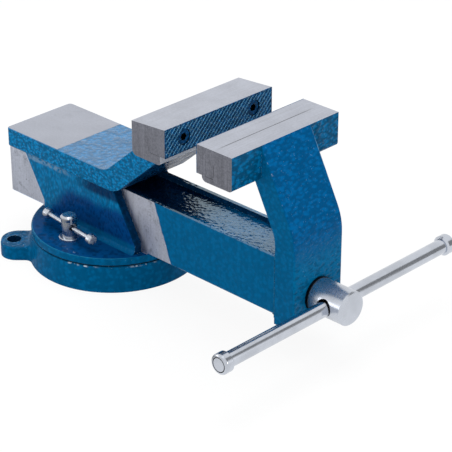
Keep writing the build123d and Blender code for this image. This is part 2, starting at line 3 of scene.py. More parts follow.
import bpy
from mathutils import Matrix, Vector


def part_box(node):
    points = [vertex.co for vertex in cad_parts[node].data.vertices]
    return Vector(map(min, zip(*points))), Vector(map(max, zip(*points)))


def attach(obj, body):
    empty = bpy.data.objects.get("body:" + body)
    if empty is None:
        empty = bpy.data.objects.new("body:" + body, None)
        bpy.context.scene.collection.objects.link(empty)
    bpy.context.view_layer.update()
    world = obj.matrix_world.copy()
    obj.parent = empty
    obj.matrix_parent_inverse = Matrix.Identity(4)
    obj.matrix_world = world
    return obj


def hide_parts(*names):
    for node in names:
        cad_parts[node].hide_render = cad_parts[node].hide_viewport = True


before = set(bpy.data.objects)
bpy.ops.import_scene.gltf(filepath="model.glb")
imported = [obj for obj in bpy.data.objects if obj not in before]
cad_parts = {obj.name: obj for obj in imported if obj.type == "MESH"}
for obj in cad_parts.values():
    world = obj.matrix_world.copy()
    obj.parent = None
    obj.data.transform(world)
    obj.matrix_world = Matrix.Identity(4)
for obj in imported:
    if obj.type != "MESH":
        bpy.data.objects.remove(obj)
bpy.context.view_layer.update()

import logging
import math
from collections.abc import Callable
from dataclasses import dataclass
from enum import Enum
from functools import cache

import bmesh
import bpy
from mathutils import Matrix, Vector

LOG = logging.getLogger("vise")

Face = bpy.types.MeshPolygon
Socket = bpy.types.NodeSocket
Value = Socket | float | int | bool | tuple | Vector
Colour = tuple[float, float, float]
Place = tuple[float, float, float]

# How near a point lies to a plane to count as on it, and to another to count as the same
ON_PLANE = 2e-5
SAME_POINT = 1e-6
# Least part of a face's direction along an axis at which it faces that way
FACING = 0.9
# Cosine between a face's own direction and its rounded one, off an edge and on it
OFF_EDGE, ON_EDGE = 0.995, 0.9
# The middle of the range of noise
MIDDLE = (0.3, 0.7)

WHITE: Colour = (1.0, 1.0, 1.0)
# One blue paint covers the vise. The blues below for the sides, the base, the upright's front, the
# roof top, the housing wall, the roof's sides and the jaw faces are copies of it, made lighter or
# darker by how light falls on those faces: painted light and shade.
PAINT_BLUE: Colour = (0.0004, 0.106, 0.252)
PAINT_SIDE: Colour = (0.0003, 0.092, 0.220)
PAINT_BASE: Colour = (0.0003, 0.080, 0.194)
# Painted shade on the disc under the roof, and below it the painted shadow that darkens the disc's
# front part further.
PAINT_DISC_SHADED: Colour = (0.0003, 0.062, 0.160)
PAINT_DISC_SHADOW: Colour = (0.0004, 0.039, 0.132)
PAINT_LIT: Colour = (0.0006, 0.126, 0.288)
PAINT_BRIM: Colour = (0.0006, 0.134, 0.310)
PAINT_ROOF: Colour = (0.0004, 0.120, 0.285)
PAINT_FRONT: Colour = (0.0003, 0.084, 0.236)
# Painted light on the lower part of the upright's front.
PAINT_FRONT_LIGHT: Colour = (0.0004, 0.104, 0.238)
PAINT_TRAY: Colour = (0.0004, 0.082, 0.210)
# Painted shadow on the tray under the housing and arm.
PAINT_TRAY_SHADOW: Colour = (0.0004, 0.006, 0.022)
# Painted shade under the roof and arm and in the tray.
PAINT_UNDER_SHADE: Colour = (0.0004, 0.030, 0.090)
# Painted shade on the lower housing wall.
PAINT_WALL_SHADE: Colour = (0.0004, 0.034, 0.134)
# Painted shade in corners and holes.
PAINT_CORNER_SHADE: Colour = (0.0004, 0.020, 0.062)
# Painted light on the housing wall's foot.
PAINT_FOOT_LIGHT: Colour = (0.0006, 0.100, 0.240)
# Painted shadow under the roof's eave.
PAINT_EAVE_SHADOW: Colour = (0.0003, 0.004, 0.038)
PAINT_GAP: Colour = (0.0010, 0.0040, 0.0080)
PAINT_CUT: Colour = (0.0006, 0.050, 0.150)
# Painted highlight on the jaw teeth and screw chamfers.
PAINT_CUT_HIGHLIGHT: Colour = (0.110, 0.330, 0.520)
# Painted highlights along edges and fillets.
PAINTED_HIGHLIGHT_SOFT: Colour = (0.020, 0.170, 0.280)
PAINTED_HIGHLIGHT_DIM: Colour = (0.14, 0.25, 0.37)
PAINTED_HIGHLIGHT_PALE: Colour = (0.15, 0.29, 0.39)
PAINTED_HIGHLIGHT_BRIGHT: Colour = (0.55, 0.66, 0.74)
# Edge chips, which also stand in as painted highlights and glints.
CHIP_AND_GLINT: Colour = (0.22, 0.36, 0.46)
CHIP_AND_GLINT_PALE: Colour = (0.40, 0.54, 0.64)
CHIP_DARK: Colour = (0.03, 0.14, 0.26)
SHEEN_BLUE: Colour = (0.05, 0.45, 1.0)
SHEEN_PALE: Colour = (0.56, 0.82, 1.0)
SEAM_DARK: Colour = (0.035, 0.036, 0.042)
STEEL_BRIGHT: Colour = (0.465, 0.488, 0.555)
STEEL_ANVIL: Colour = (0.44, 0.462, 0.528)
STEEL_SIDE: Colour = (0.75, 0.77, 0.86)
STEEL_END: Colour = (0.27, 0.278, 0.325)
STEEL_LEDGE: Colour = (0.60, 0.62, 0.66)
STEEL_POLISHED: Colour = (0.56, 0.592, 0.655)
ZINC_GREY: Colour = (0.50, 0.53, 0.58)
# Black oxide, also used as painted shade.
BLACK_OXIDE_AND_SHADE: Colour = (0.018, 0.018, 0.02)
IRON_GREY: Colour = (0.05, 0.05, 0.052)


class Slot(Enum):
    """Material slots of the record, for the pieces that are made here."""

    JAW = "jaw_steel"
    POLISHED = "polished_steel"
    ZINC = "zinc"


class Body(Enum):
    """Bodies that pieces ride on."""

    FIXED = "fixed_half"
    MOVING = "moving_half"
    SPINDLE = "spindle"


class Grain(Enum):
    """Which way the tool marks of a bare face run, as marks to a metre along each axis."""

    ALONG_X = (18.0, 1500.0, 1500.0)
    ALONG_Y = (800.0, 14.0, 800.0)
    ALONG_Z = (1300.0, 1300.0, 22.0)
    ROUND_X = (2600.0, 40.0, 40.0)
    ROUND_Y = (40.0, 2600.0, 40.0)


class Graph:
    """A node tree, with short calls for the nodes that finishes and forms share."""

    def __init__(self, tree: bpy.types.NodeTree) -> None:
        """Wraps a node tree."""
        self.tree = tree

    def add(self, kind: str, inputs: dict | None = None, **settings: object) -> bpy.types.Node:
        """Adds a node.

        Args:
            kind: The node's type name.
            inputs: Values or sockets for its inputs, by name or number.
            **settings: Properties of the node.

        Returns:
            The new node.
        """
        node = self.tree.nodes.new(kind)
        for name, value in settings.items():
            setattr(node, name, value)
        for name, value in (inputs or {}).items():
            self.feed(node.inputs[name], value)
        return node

    def feed(self, socket: Socket, value: Value) -> None:
        """Links a socket to an input, or sets the input's own value.

        Args:
            socket: The input.
            value: An output socket or a plain value.
        """
        if isinstance(value, Socket):
            self.tree.links.new(value, socket)
        else:
            socket.default_value = value

    def maths(self, operation: str, first: Value, second: Value = 0.0) -> Socket:
        """Does the named sum on one value or two."""
        return self.add("ShaderNodeMath", {0: first, 1: second}, operation=operation).outputs[0]

    def plus(self, first: Value, second: Value) -> Socket:
        """Adds two values."""
        return self.maths("ADD", first, second)

    def minus(self, first: Value, second: Value) -> Socket:
        """Takes the second value from the first."""
        return self.maths("SUBTRACT", first, second)

    def times(self, first: Value, second: Value) -> Socket:
        """Multiplies two values."""
        return self.maths("MULTIPLY", first, second)


class Shade(Graph):
    """A material's node tree."""

    def __init__(self, name: str) -> None:
        """Makes a material with its shader.

        Args:
            name: The material's name.
        """
        self.material = bpy.data.materials.new(name)
        self.material.use_nodes = True
        super().__init__(self.material.node_tree)
        self.shader = self.tree.nodes["Principled BSDF"]
        self.place = self.add("ShaderNodeTexCoord").outputs["Object"]

    def surface(self, result: Socket) -> None:
        """Gives the material another surface than its plain shader."""
        out = next(node for node in self.tree.nodes if node.type == "OUTPUT_MATERIAL")
        self.feed(out.inputs["Surface"], result)

    def ramp(
        self, value: Value, low: float, high: float, to_low: float = 0.0, to_high: float = 1.0
    ) -> Socket:
        """Maps one range on another, smoothly and held at the ends.

        Args:
            value: What is mapped.
            low: Start of its range.
            high: End of its range.
            to_low: Result at the start.
            to_high: Result at the end.

        Returns:
            The mapped value.
        """
        ranges = {"From Min": low, "From Max": high, "To Min": to_low, "To Max": to_high}
        node = self.add(
            "ShaderNodeMapRange", {"Value": value, **ranges}, interpolation_type="SMOOTHSTEP"
        )
        return node.outputs["Result"]

    def mix(self, share: Value, first: Value, second: Value, colour: bool = False) -> Socket:
        """Mixes two values or colours.

        Args:
            share: Share of the second.
            first: First value.
            second: Second value.
            colour: Whether they are colours.

        Returns:
            The mixture.
        """
        node = self.add("ShaderNodeMix", data_type="RGBA" if colour else "FLOAT")
        wanted = "RGBA" if colour else "VALUE"
        sockets = [s for s in node.inputs if s.type == wanted and s.name in "AB"]
        self.feed(node.inputs["Factor"], share)
        for socket, value in zip(sockets, (first, second)):
            plain = colour and not isinstance(value, Socket)
            self.feed(socket, (*value, 1.0) if plain else value)
        return next(s for s in node.outputs if s.type == wanted)

    def blend(self, share: Value, first: Value, second: Value) -> Socket:
        """Mixes two colours, by the share of the second."""
        return self.mix(share, first, second, colour=True)

    def noise(
        self, scale: float, detail: float, stretch: Place | None = None, rough: float = 0.5
    ) -> Socket:
        """Adds noise around a half, of so many clouds to a metre, on the piece's coordinates."""
        inputs = {
            "Vector": self.scaled(stretch),
            "Scale": scale,
            "Detail": detail,
            "Roughness": rough,
        }
        return self.add("ShaderNodeTexNoise", inputs).outputs["Fac"]

    def waver(self, scale: float, detail: float, size: float) -> Socket:
        """Adds noise around nought, of a size."""
        return self.times(self.minus(self.noise(scale, detail), 0.5), size)

    def cells(self, scale: float, smooth: float, stretch: Place | None = None) -> Socket:
        """Adds so many cells to a metre, run together, and gives how far off their middles are."""
        inputs = {"Vector": self.scaled(stretch), "Scale": scale, "Smoothness": smooth}
        return self.add("ShaderNodeTexVoronoi", inputs, feature="SMOOTH_F1").outputs["Distance"]

    def scaled(self, stretch: Place | None) -> Socket:
        """Gives the piece's own coordinates, scaled along each axis.

        Args:
            stretch: Scale along each axis, or None for the plain ones.

        Returns:
            The coordinates.
        """
        if stretch is None:
            return self.place
        return self.add("ShaderNodeMapping", {"Vector": self.place, "Scale": stretch}).outputs[0]

    def axis(self, letter: str) -> Socket:
        """Gives one coordinate of the piece in metres, by its letter."""
        return self.add("ShaderNodeSeparateXYZ", {0: self.place}).outputs[letter]

    def edges(self, radius: float) -> Socket:
        """Finds the piece's edges.

        Args:
            radius: How far an edge reaches.

        Returns:
            1 on an edge and 0 on a flat face.
        """
        rounded = self.add("ShaderNodeBevel", {"Radius": radius}, samples=4).outputs[0]
        plain = self.add("ShaderNodeNewGeometry").outputs["Normal"]
        dot = self.add("ShaderNodeVectorMath", {0: rounded, 1: plain}, operation="DOT_PRODUCT")
        return self.ramp(dot.outputs["Value"], OFF_EDGE, ON_EDGE)


def toned(colour: Colour, share: float) -> Colour:
    """Makes a colour lighter or darker by a share, held below white."""
    return tuple(min(1.0, part * share) for part in colour)


def tones(colour: Colour, spread: float) -> tuple[Colour, Colour]:
    """Gives a colour's dark and light tones."""
    return toned(colour, 1.0 - spread), toned(colour, 1.0 + spread)


@dataclass(frozen=True)
class Cloud:
    """Noise on a surface, and the part of its range that is taken from none to all."""

    scale: float
    detail: float
    low: float = MIDDLE[0]
    high: float = MIDDLE[1]
    stretch: Place | None = None
    rough: float = 0.5

    def share(self, shade: Shade, least: float = 0.0, most: float = 1.0) -> Socket:
        """Gives the noise as a value between two others."""
        noise = shade.noise(self.scale, self.detail, self.stretch, self.rough)
        return shade.ramp(noise, self.low, self.high, least, most)


RUNS = Cloud(1.0, 3.0, 0.35, 0.7, (230.0, 230.0, 12.0))
GLINTS = Cloud(760.0, 1.0, 0.70, 0.78)
EDGE_CHIPS_AND_GLINTS = Cloud(620.0, 2.0, 0.54, 0.64)
GLOSS = Cloud(140.0, 3.0)
STAINS = Cloud(90.0, 5.0, 0.52, 0.72, None, 0.7)
PITS = Cloud(640.0, 2.0, 0.70, 0.76)


@dataclass
class Coat:
    """What a finish gives a surface, before it reaches the shader."""

    colour: Value
    metal: Value
    rough: Value
    relief: Value


@dataclass(frozen=True)
class Finish:
    """A finish with one shader. Its kinds say how the coat is made."""

    name: str
    colour: Colour
    rough: float
    specular: float = 0.5
    tint: Colour = WHITE
    ior: float = 1.5

    def coat(self, shade: Shade) -> Coat:
        """Makes the coat in a material's tree."""
        raise NotImplementedError

    def material(self) -> bpy.types.Material:
        """Makes the material.

        Returns:
            The new material.
        """
        shade = Shade(self.name)
        coat = self.coat(shade)
        relief = {"Strength": 1.0, "Distance": 1.0, "Height": coat.relief}
        sockets = shade.shader.inputs
        shade.feed(sockets["Base Color"], coat.colour)
        shade.feed(sockets["Metallic"], coat.metal)
        shade.feed(sockets["Roughness"], coat.rough)
        shade.feed(sockets["Normal"], shade.add("ShaderNodeBump", relief).outputs["Normal"])
        sockets["Specular IOR Level"].default_value = self.specular
        sockets["Specular Tint"].default_value = (*self.tint, 1.0)
        sockets["IOR"].default_value = self.ior
        return shade.material


@dataclass(frozen=True)
class Line:
    """A thin line on a face, fading towards its ends: a dark seam, a dark joint, a painted
    highlight along an edge, a painted shadow, or a band of painted light.
    """

    across: str
    at: float
    along: str
    start: float
    end: float
    fade: float
    width: float
    colour: Colour = SEAM_DARK
    broken: float = 0.30
    core: float = 0.4

    def mask(self, shade: Shade) -> Socket:
        """Gives the line.

        Args:
            shade: The material's tree.

        Returns:
            1 on the line and 0 beside it.
        """
        aside = shade.maths("ABSOLUTE", shade.minus(shade.axis(self.across), self.at))
        line = shade.ramp(aside, self.width, self.width * self.core)
        place = shade.axis(self.along)
        begun = shade.ramp(place, self.start - self.fade, self.start + self.fade)
        ended = shade.ramp(place, self.end + self.fade, self.end - self.fade)
        return shade.times(line, shade.times(begun, ended))


@dataclass(frozen=True)
class PaintedShading:
    """Painted light and shade: another tone on one side of a line in x and z, darker in most places
    and lighter on the upright's front.
    """

    colour: Colour
    lean: tuple[float, float]
    level: float
    soft: float
    uneven: float
    ceiling: float = 1.0
    waves: float = 55.0

    def mask(self, shade: Shade) -> Socket:
        """Gives where the painted light and shade lies.

        Args:
            shade: The material's tree.

        Returns:
            1 in the painted light and shade and 0 beside it.
        """
        x, z = (shade.times(shade.axis(axis), lean) for axis, lean in zip("XZ", self.lean))
        wave = shade.waver(self.waves, 3.0, self.uneven)
        place = shade.plus(shade.plus(x, z), wave)
        near = shade.ramp(place, self.level - self.soft, self.level + self.soft)
        height = shade.minus(shade.axis("Z"), wave)
        low = shade.ramp(height, self.ceiling + self.soft, self.ceiling - self.soft)
        return shade.times(near, low)


# Make-up of hammer paint: how far its dimples run together, ripples and swells to a dimple,
# the swells' share in relief and tone, and the range of height that is dark to light
DIMPLE_BLUR = 0.7
RIPPLES, SWELLS = 0.9, 0.12
SWELL_RELIEF, SWELL_TONE = 0.25, 0.12
RELIEF_GAIN = 4.0
TONE_RANGE = (0.34, 0.56)
# Tones of runs and of the painted light and shade, the reach of edge chips that also stand in as
# painted highlights, and how painted lines break up
RUN_TONE = 1.5
SHADING_TONES = (0.82, 1.22)
SHADING_CLOUDS = 90.0
EDGE_CHIP_AND_GLINT_REACH = 0.0011
LINE_BREAK_CLOUDS, LINE_BREAK_RANGE, LINE_BREAK_MOST = 240.0, 0.2, 0.8
# Least and most of a finish's roughness
ROUGH_PATCHY, ROUGH_GROUND, ROUGH_POLISHED = (0.75, 1.25), (0.8, 1.2), (0.9, 1.15)


@dataclass(frozen=True)
class HammerPaint(Finish):
    """Gloss paint that has dried in small dimples over cast steel."""

    tint: Colour = SHEEN_BLUE
    pebble: float = 0.0025
    stretch: Place | None = None
    depth: float = 0.00030
    mottle: float = 0.2
    streak: float = 0.0
    painted_glints: float = 0.0
    chips_and_glints: Colour = CHIP_AND_GLINT
    edge_wear_and_glint: float = 0.7
    painted_shading: PaintedShading | None = None
    painted_lines: tuple[Line, ...] = ()

    def coat(self, shade: Shade) -> Coat:
        """Makes dimpled, mottled paint with painted glints, edge chips that also stand in as
        painted highlights, painted light and shade, and painted lines.

        Args:
            shade: The material's tree.

        Returns:
            The coat.
        """
        dimples = shade.cells(1.0 / self.pebble, DIMPLE_BLUR, self.stretch)
        ripple = shade.noise(RIPPLES / self.pebble, 2.0, self.stretch)
        height = shade.mix(0.5, dimples, ripple)
        swell = shade.noise(SWELLS / self.pebble, 1.0)
        relief = shade.times(shade.mix(SWELL_RELIEF, height, swell), self.depth * RELIEF_GAIN)
        tone = shade.ramp(shade.mix(SWELL_TONE, height, swell), *TONE_RANGE)
        deep, light = tones(self.colour, self.mottle)
        colour = shade.blend(tone, light, deep)
        if self.streak:
            runs = RUNS.share(shade, most=self.streak)
            colour = shade.blend(runs, colour, toned(self.colour, RUN_TONE))
        # Painted light and shade, patchy in tone, on one side of its line.
        if self.painted_shading is not None:
            patchy = shade.ramp(shade.mix(0.5, tone, shade.noise(SHADING_CLOUDS, 3.0)), *MIDDLE)
            thick = shade.blend(patchy, *(toned(self.painted_shading.colour, share) for share in SHADING_TONES))
            colour = shade.blend(self.painted_shading.mask(shade), colour, thick)
        # Painted glints: bright flecks in the chip colour.
        if self.painted_glints:
            colour = shade.blend(GLINTS.share(shade, most=self.painted_glints), colour, self.chips_and_glints)
        # Chips along the edges, which also stand in as painted highlights there.
        edge_chips_and_glints = shade.times(shade.edges(EDGE_CHIP_AND_GLINT_REACH), EDGE_CHIPS_AND_GLINTS.share(shade))
        colour = shade.blend(shade.times(edge_chips_and_glints, self.edge_wear_and_glint), colour, self.chips_and_glints)
        # Painted lines: painted highlights, painted shadows, painted light and dark joints.
        for painted_line in self.painted_lines:
            line_breaks = Cloud(LINE_BREAK_CLOUDS, 3.0, painted_line.broken, painted_line.broken + LINE_BREAK_RANGE)
            unbroken = line_breaks.share(shade, most=LINE_BREAK_MOST)
            colour = shade.blend(shade.times(painted_line.mask(shade), unbroken), colour, painted_line.colour)
        rough = GLOSS.share(shade, *(self.rough * share for share in ROUGH_PATCHY))
        return Coat(colour, 0.0, rough, relief)


# Make-up of ground steel: clouds and specks to a metre, the clouds' share in its tone, the range
# that is dark to light, tones of stains and pits, and the reach, share and tone of a painted
# highlight along edges
STEEL_CLOUDS, STEEL_SPECKS = 45.0, 620.0
CLOUD_TONE = 0.35
STEEL_RANGE = (0.33, 0.67)
STAIN_TONE, PIT_TONE = 0.4, 0.25
BRIGHT_EDGE, BRIGHT_SHARE, BRIGHT_TONE = 0.0006, 0.35, 1.5


@dataclass(frozen=True)
class GroundSteel(Finish):
    """Bare steel with the marks of grinding or milling."""

    grain: Grain = Grain.ALONG_Y
    contrast: float = 0.12
    speckle: float = 0.25
    stain: float = 0.0
    pits: float = 0.0
    depth: float = 0.000004
    seams: tuple[Line, ...] = ()

    def coat(self, shade: Shade) -> Coat:
        """Makes fine parallel tool marks with faint clouds, stains, pits and seams.

        Args:
            shade: The material's tree.

        Returns:
            The coat.
        """
        marks = shade.noise(1.0, 4.0, self.grain.value, 0.65)
        cloudy = shade.mix(CLOUD_TONE, marks, shade.noise(STEEL_CLOUDS, 3.0))
        speckled = shade.mix(self.speckle, cloudy, shade.noise(STEEL_SPECKS, 2.0))
        dark, light = tones(self.colour, self.contrast)
        colour = shade.blend(shade.ramp(speckled, *STEEL_RANGE), dark, light)
        for cloud, most, tone in ((STAINS, self.stain, STAIN_TONE), (PITS, self.pits, PIT_TONE)):
            if most:
                spot = toned(self.colour, tone)
                colour = shade.blend(cloud.share(shade, most=most), colour, spot)
        for seam in self.seams:
            colour = shade.blend(seam.mask(shade), colour, seam.colour)
        # A lighter tone along the edges, as a painted highlight.
        bright = shade.times(shade.edges(BRIGHT_EDGE), BRIGHT_SHARE)
        colour = shade.blend(bright, colour, toned(self.colour, BRIGHT_TONE))
        rough = shade.ramp(marks, *MIDDLE, *(self.rough * share for share in ROUGH_GROUND))
        return Coat(colour, 1.0, rough, shade.times(marks, self.depth))


# Polished steel: clouds of haze to a metre, the range that is clear to hazy, and the haze's tone
HAZE_CLOUDS = 70.0
HAZE_RANGE = (0.35, 0.7)
HAZE_TONE = 0.88


@dataclass(frozen=True)
class Polish(Finish):
    """Plated or polished steel with faint turning marks."""

    grain: Grain = Grain.ROUND_X
    depth: float = 0.0000004

    def coat(self, shade: Shade) -> Coat:
        """Makes a bright surface with fine rings and slight haze.

        Args:
            shade: The material's tree.

        Returns:
            The coat.
        """
        rings = shade.noise(1.0, 3.0, self.grain.value)
        haze = shade.noise(HAZE_CLOUDS, 4.0)
        hazy = toned(self.colour, HAZE_TONE)
        colour = shade.blend(shade.ramp(haze, *HAZE_RANGE), self.colour, hazy)
        uneven = shade.mix(0.5, rings, haze)
        rough = shade.ramp(uneven, *MIDDLE, *(self.rough * share for share in ROUGH_POLISHED))
        return Coat(colour, 1.0, rough, shade.times(rings, self.depth))


# Plated and raw metal: how far its grains run together, clouds to a grain, and the range of tone
GRAIN_BLUR = 0.4
GRAIN_CLOUDS = 0.2
GRAIN_RANGE = (0.25, 0.65)


@dataclass(frozen=True)
class Speckled(Finish):
    """Zinc, black oxide or raw iron: a fine irregular grain over one metal."""

    grain_size: float = 0.0011
    contrast: float = 0.2
    depth: float = 0.00002

    def coat(self, shade: Shade) -> Coat:
        """Makes a fine grain with cloudy tone.

        Args:
            shade: The material's tree.

        Returns:
            The coat.
        """
        grain = shade.cells(1.0 / self.grain_size, GRAIN_BLUR)
        clouds = shade.noise(GRAIN_CLOUDS / self.grain_size, 4.0)
        tone = shade.ramp(shade.mix(0.5, grain, clouds), *GRAIN_RANGE)
        dark, light = tones(self.colour, self.contrast)
        rough = shade.ramp(clouds, *MIDDLE, *(self.rough * share for share in ROUGH_PATCHY))
        return Coat(shade.blend(tone, dark, light), 1.0, rough, shade.times(grain, self.depth))


@dataclass(frozen=True)
class PaintLine:
    """Where the paint ends on a face: a line in its x and z, with a slightly uneven edge."""

    x: float
    z: float = 0.0
    lean: float = 0.0
    soft: float = 0.0005
    waver: float = 0.0022
    waves: float = 130.0

    def painted(self, shade: Shade) -> Socket:
        """Gives the painted side of the line.

        Args:
            shade: The material's tree.

        Returns:
            1 on the paint and 0 on the bare steel.
        """
        lean = shade.times(shade.minus(shade.axis("Z"), self.z), self.lean)
        side = shade.plus(shade.minus(shade.axis("X"), self.x), lean)
        side = shade.plus(side, shade.waver(self.waves, 4.0, self.waver))
        return shade.ramp(side, -self.soft, self.soft)


@dataclass(frozen=True)
class PartPainted(Finish):
    """A face that is paint on one side of a line and bare steel on the other."""

    paint: HammerPaint | None = None
    steel: GroundSteel | None = None
    line: PaintLine | None = None

    def coat(self, shade: Shade) -> Coat:
        """Lays the paint over the steel up to the line.

        Args:
            shade: The material's tree.

        Returns:
            The coat.
        """
        over, bare = self.paint.coat(shade), self.steel.coat(shade)
        share = self.line.painted(shade)
        return Coat(
            shade.blend(share, bare.colour, over.colour),
            shade.minus(1.0, share),
            shade.mix(share, bare.rough, over.rough),
            shade.mix(share, bare.relief, over.relief),
        )


RUN_PAINT = HammerPaint(
    "run_paint", PAINT_SIDE, 0.26, 0.03, pebble=0.0036, depth=0.00008, mottle=0.12, streak=0.18
)
# The roof top's paint: a few painted glints.
ROOF_PAINT = HammerPaint(
    "roof_paint", PAINT_ROOF, 0.30, 1.0, WHITE, pebble=0.0042, depth=0.0005, mottle=0.25, painted_glints=0.1
)
ANVIL_STEEL = GroundSteel(
    "ground_anvil", STEEL_ANVIL, 0.38, grain=Grain.ALONG_X, contrast=0.10, stain=0.16
)
SIDE_STEEL = GroundSteel(
    "ground_side", STEEL_SIDE, 0.40, grain=Grain.ALONG_Z, contrast=0.16, stain=0.75, pits=0.6,
    seams=(Line("X", -0.0909, "Z", 0.0501, 0.0507, 0.0004, 0.0008),),
)


class Look(Enum):
    """Every finish of the vise."""

    # Painted glints.
    PEBBLED = HammerPaint("hammer_paint", PAINT_BLUE, 0.28, 0.06, depth=0.0004, painted_glints=0.3)
    ROOF = ROOF_PAINT
    SIDE = SIDE_STEEL
    # The upright's front: painted light makes it lighter below about z = 0.092. It also has painted
    # glints and painted highlights along its near and far edges.
    FRONT = HammerPaint(
        "front_paint", PAINT_FRONT, 0.28, 0.05, pebble=0.0030, stretch=(1.0, 0.6, 1.1),
        depth=0.0004, painted_glints=0.35, painted_shading=PaintedShading(PAINT_FRONT_LIGHT, (0.0, -1.0), -0.092, 0.016, 0.010),
        painted_lines=(
            Line("Y", -0.0285, "Z", 0.115, 0.172, 0.006, 0.0010, PAINTED_HIGHLIGHT_BRIGHT, 0.60),
            Line("Y", 0.0285, "Z", 0.140, 0.176, 0.006, 0.0012, PAINTED_HIGHLIGHT_PALE, 0.34),
        ),
    )
    # The moving head's ends and backs: painted glints, without edge chips.
    BACK = HammerPaint(
        "back_paint", PAINT_SIDE, 0.28, 0.06, pebble=0.0031, stretch=(1.0, 0.7, 1.1),
        depth=0.0005, mottle=0.36, painted_glints=0.5, edge_wear_and_glint=0.0,
    )
    # The roof's and arm's sides: painted glints, and a painted highlight along the roof's lower
    # edge towards the rear.
    BRIM = HammerPaint(
        "brim_paint", PAINT_BRIM, 0.28, 0.08, stretch=(0.8, 1.0, 1.1), depth=0.0005, mottle=0.36,
        painted_glints=0.4, painted_lines=(Line("Z", 0.0871, "X", -0.086, -0.018, 0.006, 0.0014, PAINTED_HIGHLIGHT_PALE),),
    )
    # Painted shade for the faces under the roof and arm, and for the tray's side walls.
    UNDER = HammerPaint("under_painted_shade", PAINT_UNDER_SHADE, 0.3, 0.05, pebble=0.0030, mottle=0.25)
    # The upright's sides: a painted highlight on the blend into the beam.
    UPRIGHT = HammerPaint(
        "upright_paint", PAINT_SIDE, 0.28, 0.03, pebble=0.0034, depth=0.00016, mottle=0.14,
        painted_lines=(Line("X", 0.2195, "Z", 0.030, 0.084, 0.008, 0.0022, PAINTED_HIGHLIGHT_SOFT),),
    )
    # The base and the disc's rim: painted highlights on the base's top edge and the disc's top
    # edge, and a dark joint line at the swivel gap.
    BASE = HammerPaint(
        "base_paint", PAINT_BASE, 0.20, 0.05, pebble=0.0040, depth=0.00014, mottle=0.16, streak=0.1,
        painted_lines=(
            Line("Z", 0.0234, "X", 0.016, 0.042, 0.004, 0.0009, PAINTED_HIGHLIGHT_BRIGHT, 0.46),
            Line("Z", 0.0234, "X", 0.064, 0.071, 0.003, 0.0009, PAINTED_HIGHLIGHT_BRIGHT, 0.46),
            Line("Z", 0.0320, "X", -0.074, 0.060, 0.006, 0.0006, PAINTED_HIGHLIGHT_SOFT),
            Line("Z", 0.0249, "X", -0.080, 0.080, 0.002, 0.0011, PAINT_GAP, -0.4),
        ),
    )
    # The base's top faces: many painted glints, and pale edge chips that also stand in as painted
    # highlights.
    LUG = HammerPaint(
        "lug_paint", PAINT_BASE, 0.20, 0.08, pebble=0.0030, mottle=0.25, painted_glints=0.8, chips_and_glints=CHIP_AND_GLINT_PALE
    )
    # The housing wall: its lit blue, painted shade on the lower wall that reaches higher towards
    # the front and stops at z = 0.0675, a painted highlight along the roof's lower edge, a painted
    # shadow under the eave and a band of painted light at its foot.
    WALL = HammerPaint(
        "wall_paint", PAINT_LIT, 0.22, 0.08, pebble=0.0028, stretch=(1.2, 1.2, 0.7), depth=0.00035,
        mottle=0.26, streak=0.2, painted_shading=PaintedShading(PAINT_WALL_SHADE, (0.80, -1.0), -0.082, 0.007, 0.020, 0.0675),
        painted_lines=(
            Line("Z", 0.0817, "X", -0.078, -0.026, 0.010, 0.0040, PAINTED_HIGHLIGHT_DIM, 0.36),
            # Painted shadow under the eave, from x = -0.004 forward.
            Line("Z", 0.0797, "X", -0.004, 0.070, 0.014, 0.0076, PAINT_EAVE_SHADOW, -0.4),
            # Painted light along the wall's foot above the disc.
            Line("Z", 0.0350, "X", -0.020, 0.064, 0.012, 0.0070, PAINT_FOOT_LIGHT, -0.4),
        ),
    )
    # Painted shade on the housing's front face and in the base's bolt holes.
    CORNER = HammerPaint(
        "corner_painted_shade", PAINT_CORNER_SHADE, 0.26, 0.04, pebble=0.0030, depth=0.0002, mottle=0.25
    )
    # The disc: painted shade all over, a painted shadow from x = -0.056 forward, and painted
    # highlights by the rim's near edge and at the housing wall's front corner.
    DISC = HammerPaint(
        "disc_painted_shade", PAINT_DISC_SHADED, 0.16, 0.03, pebble=0.0050, depth=0.00012, mottle=0.16,
        painted_shading=PaintedShading(PAINT_DISC_SHADOW, (1.0, 0.0), -0.056, 0.008, 0.012),
        painted_lines=(
            Line("Y", -0.0650, "X", 0.006, 0.022, 0.003, 0.0030, PAINTED_HIGHLIGHT_BRIGHT, 0.58),
            Line("X", 0.0522, "Y", -0.030, -0.025, 0.001, 0.0016, PAINTED_HIGHLIGHT_BRIGHT, 0.44),
        ),
    )
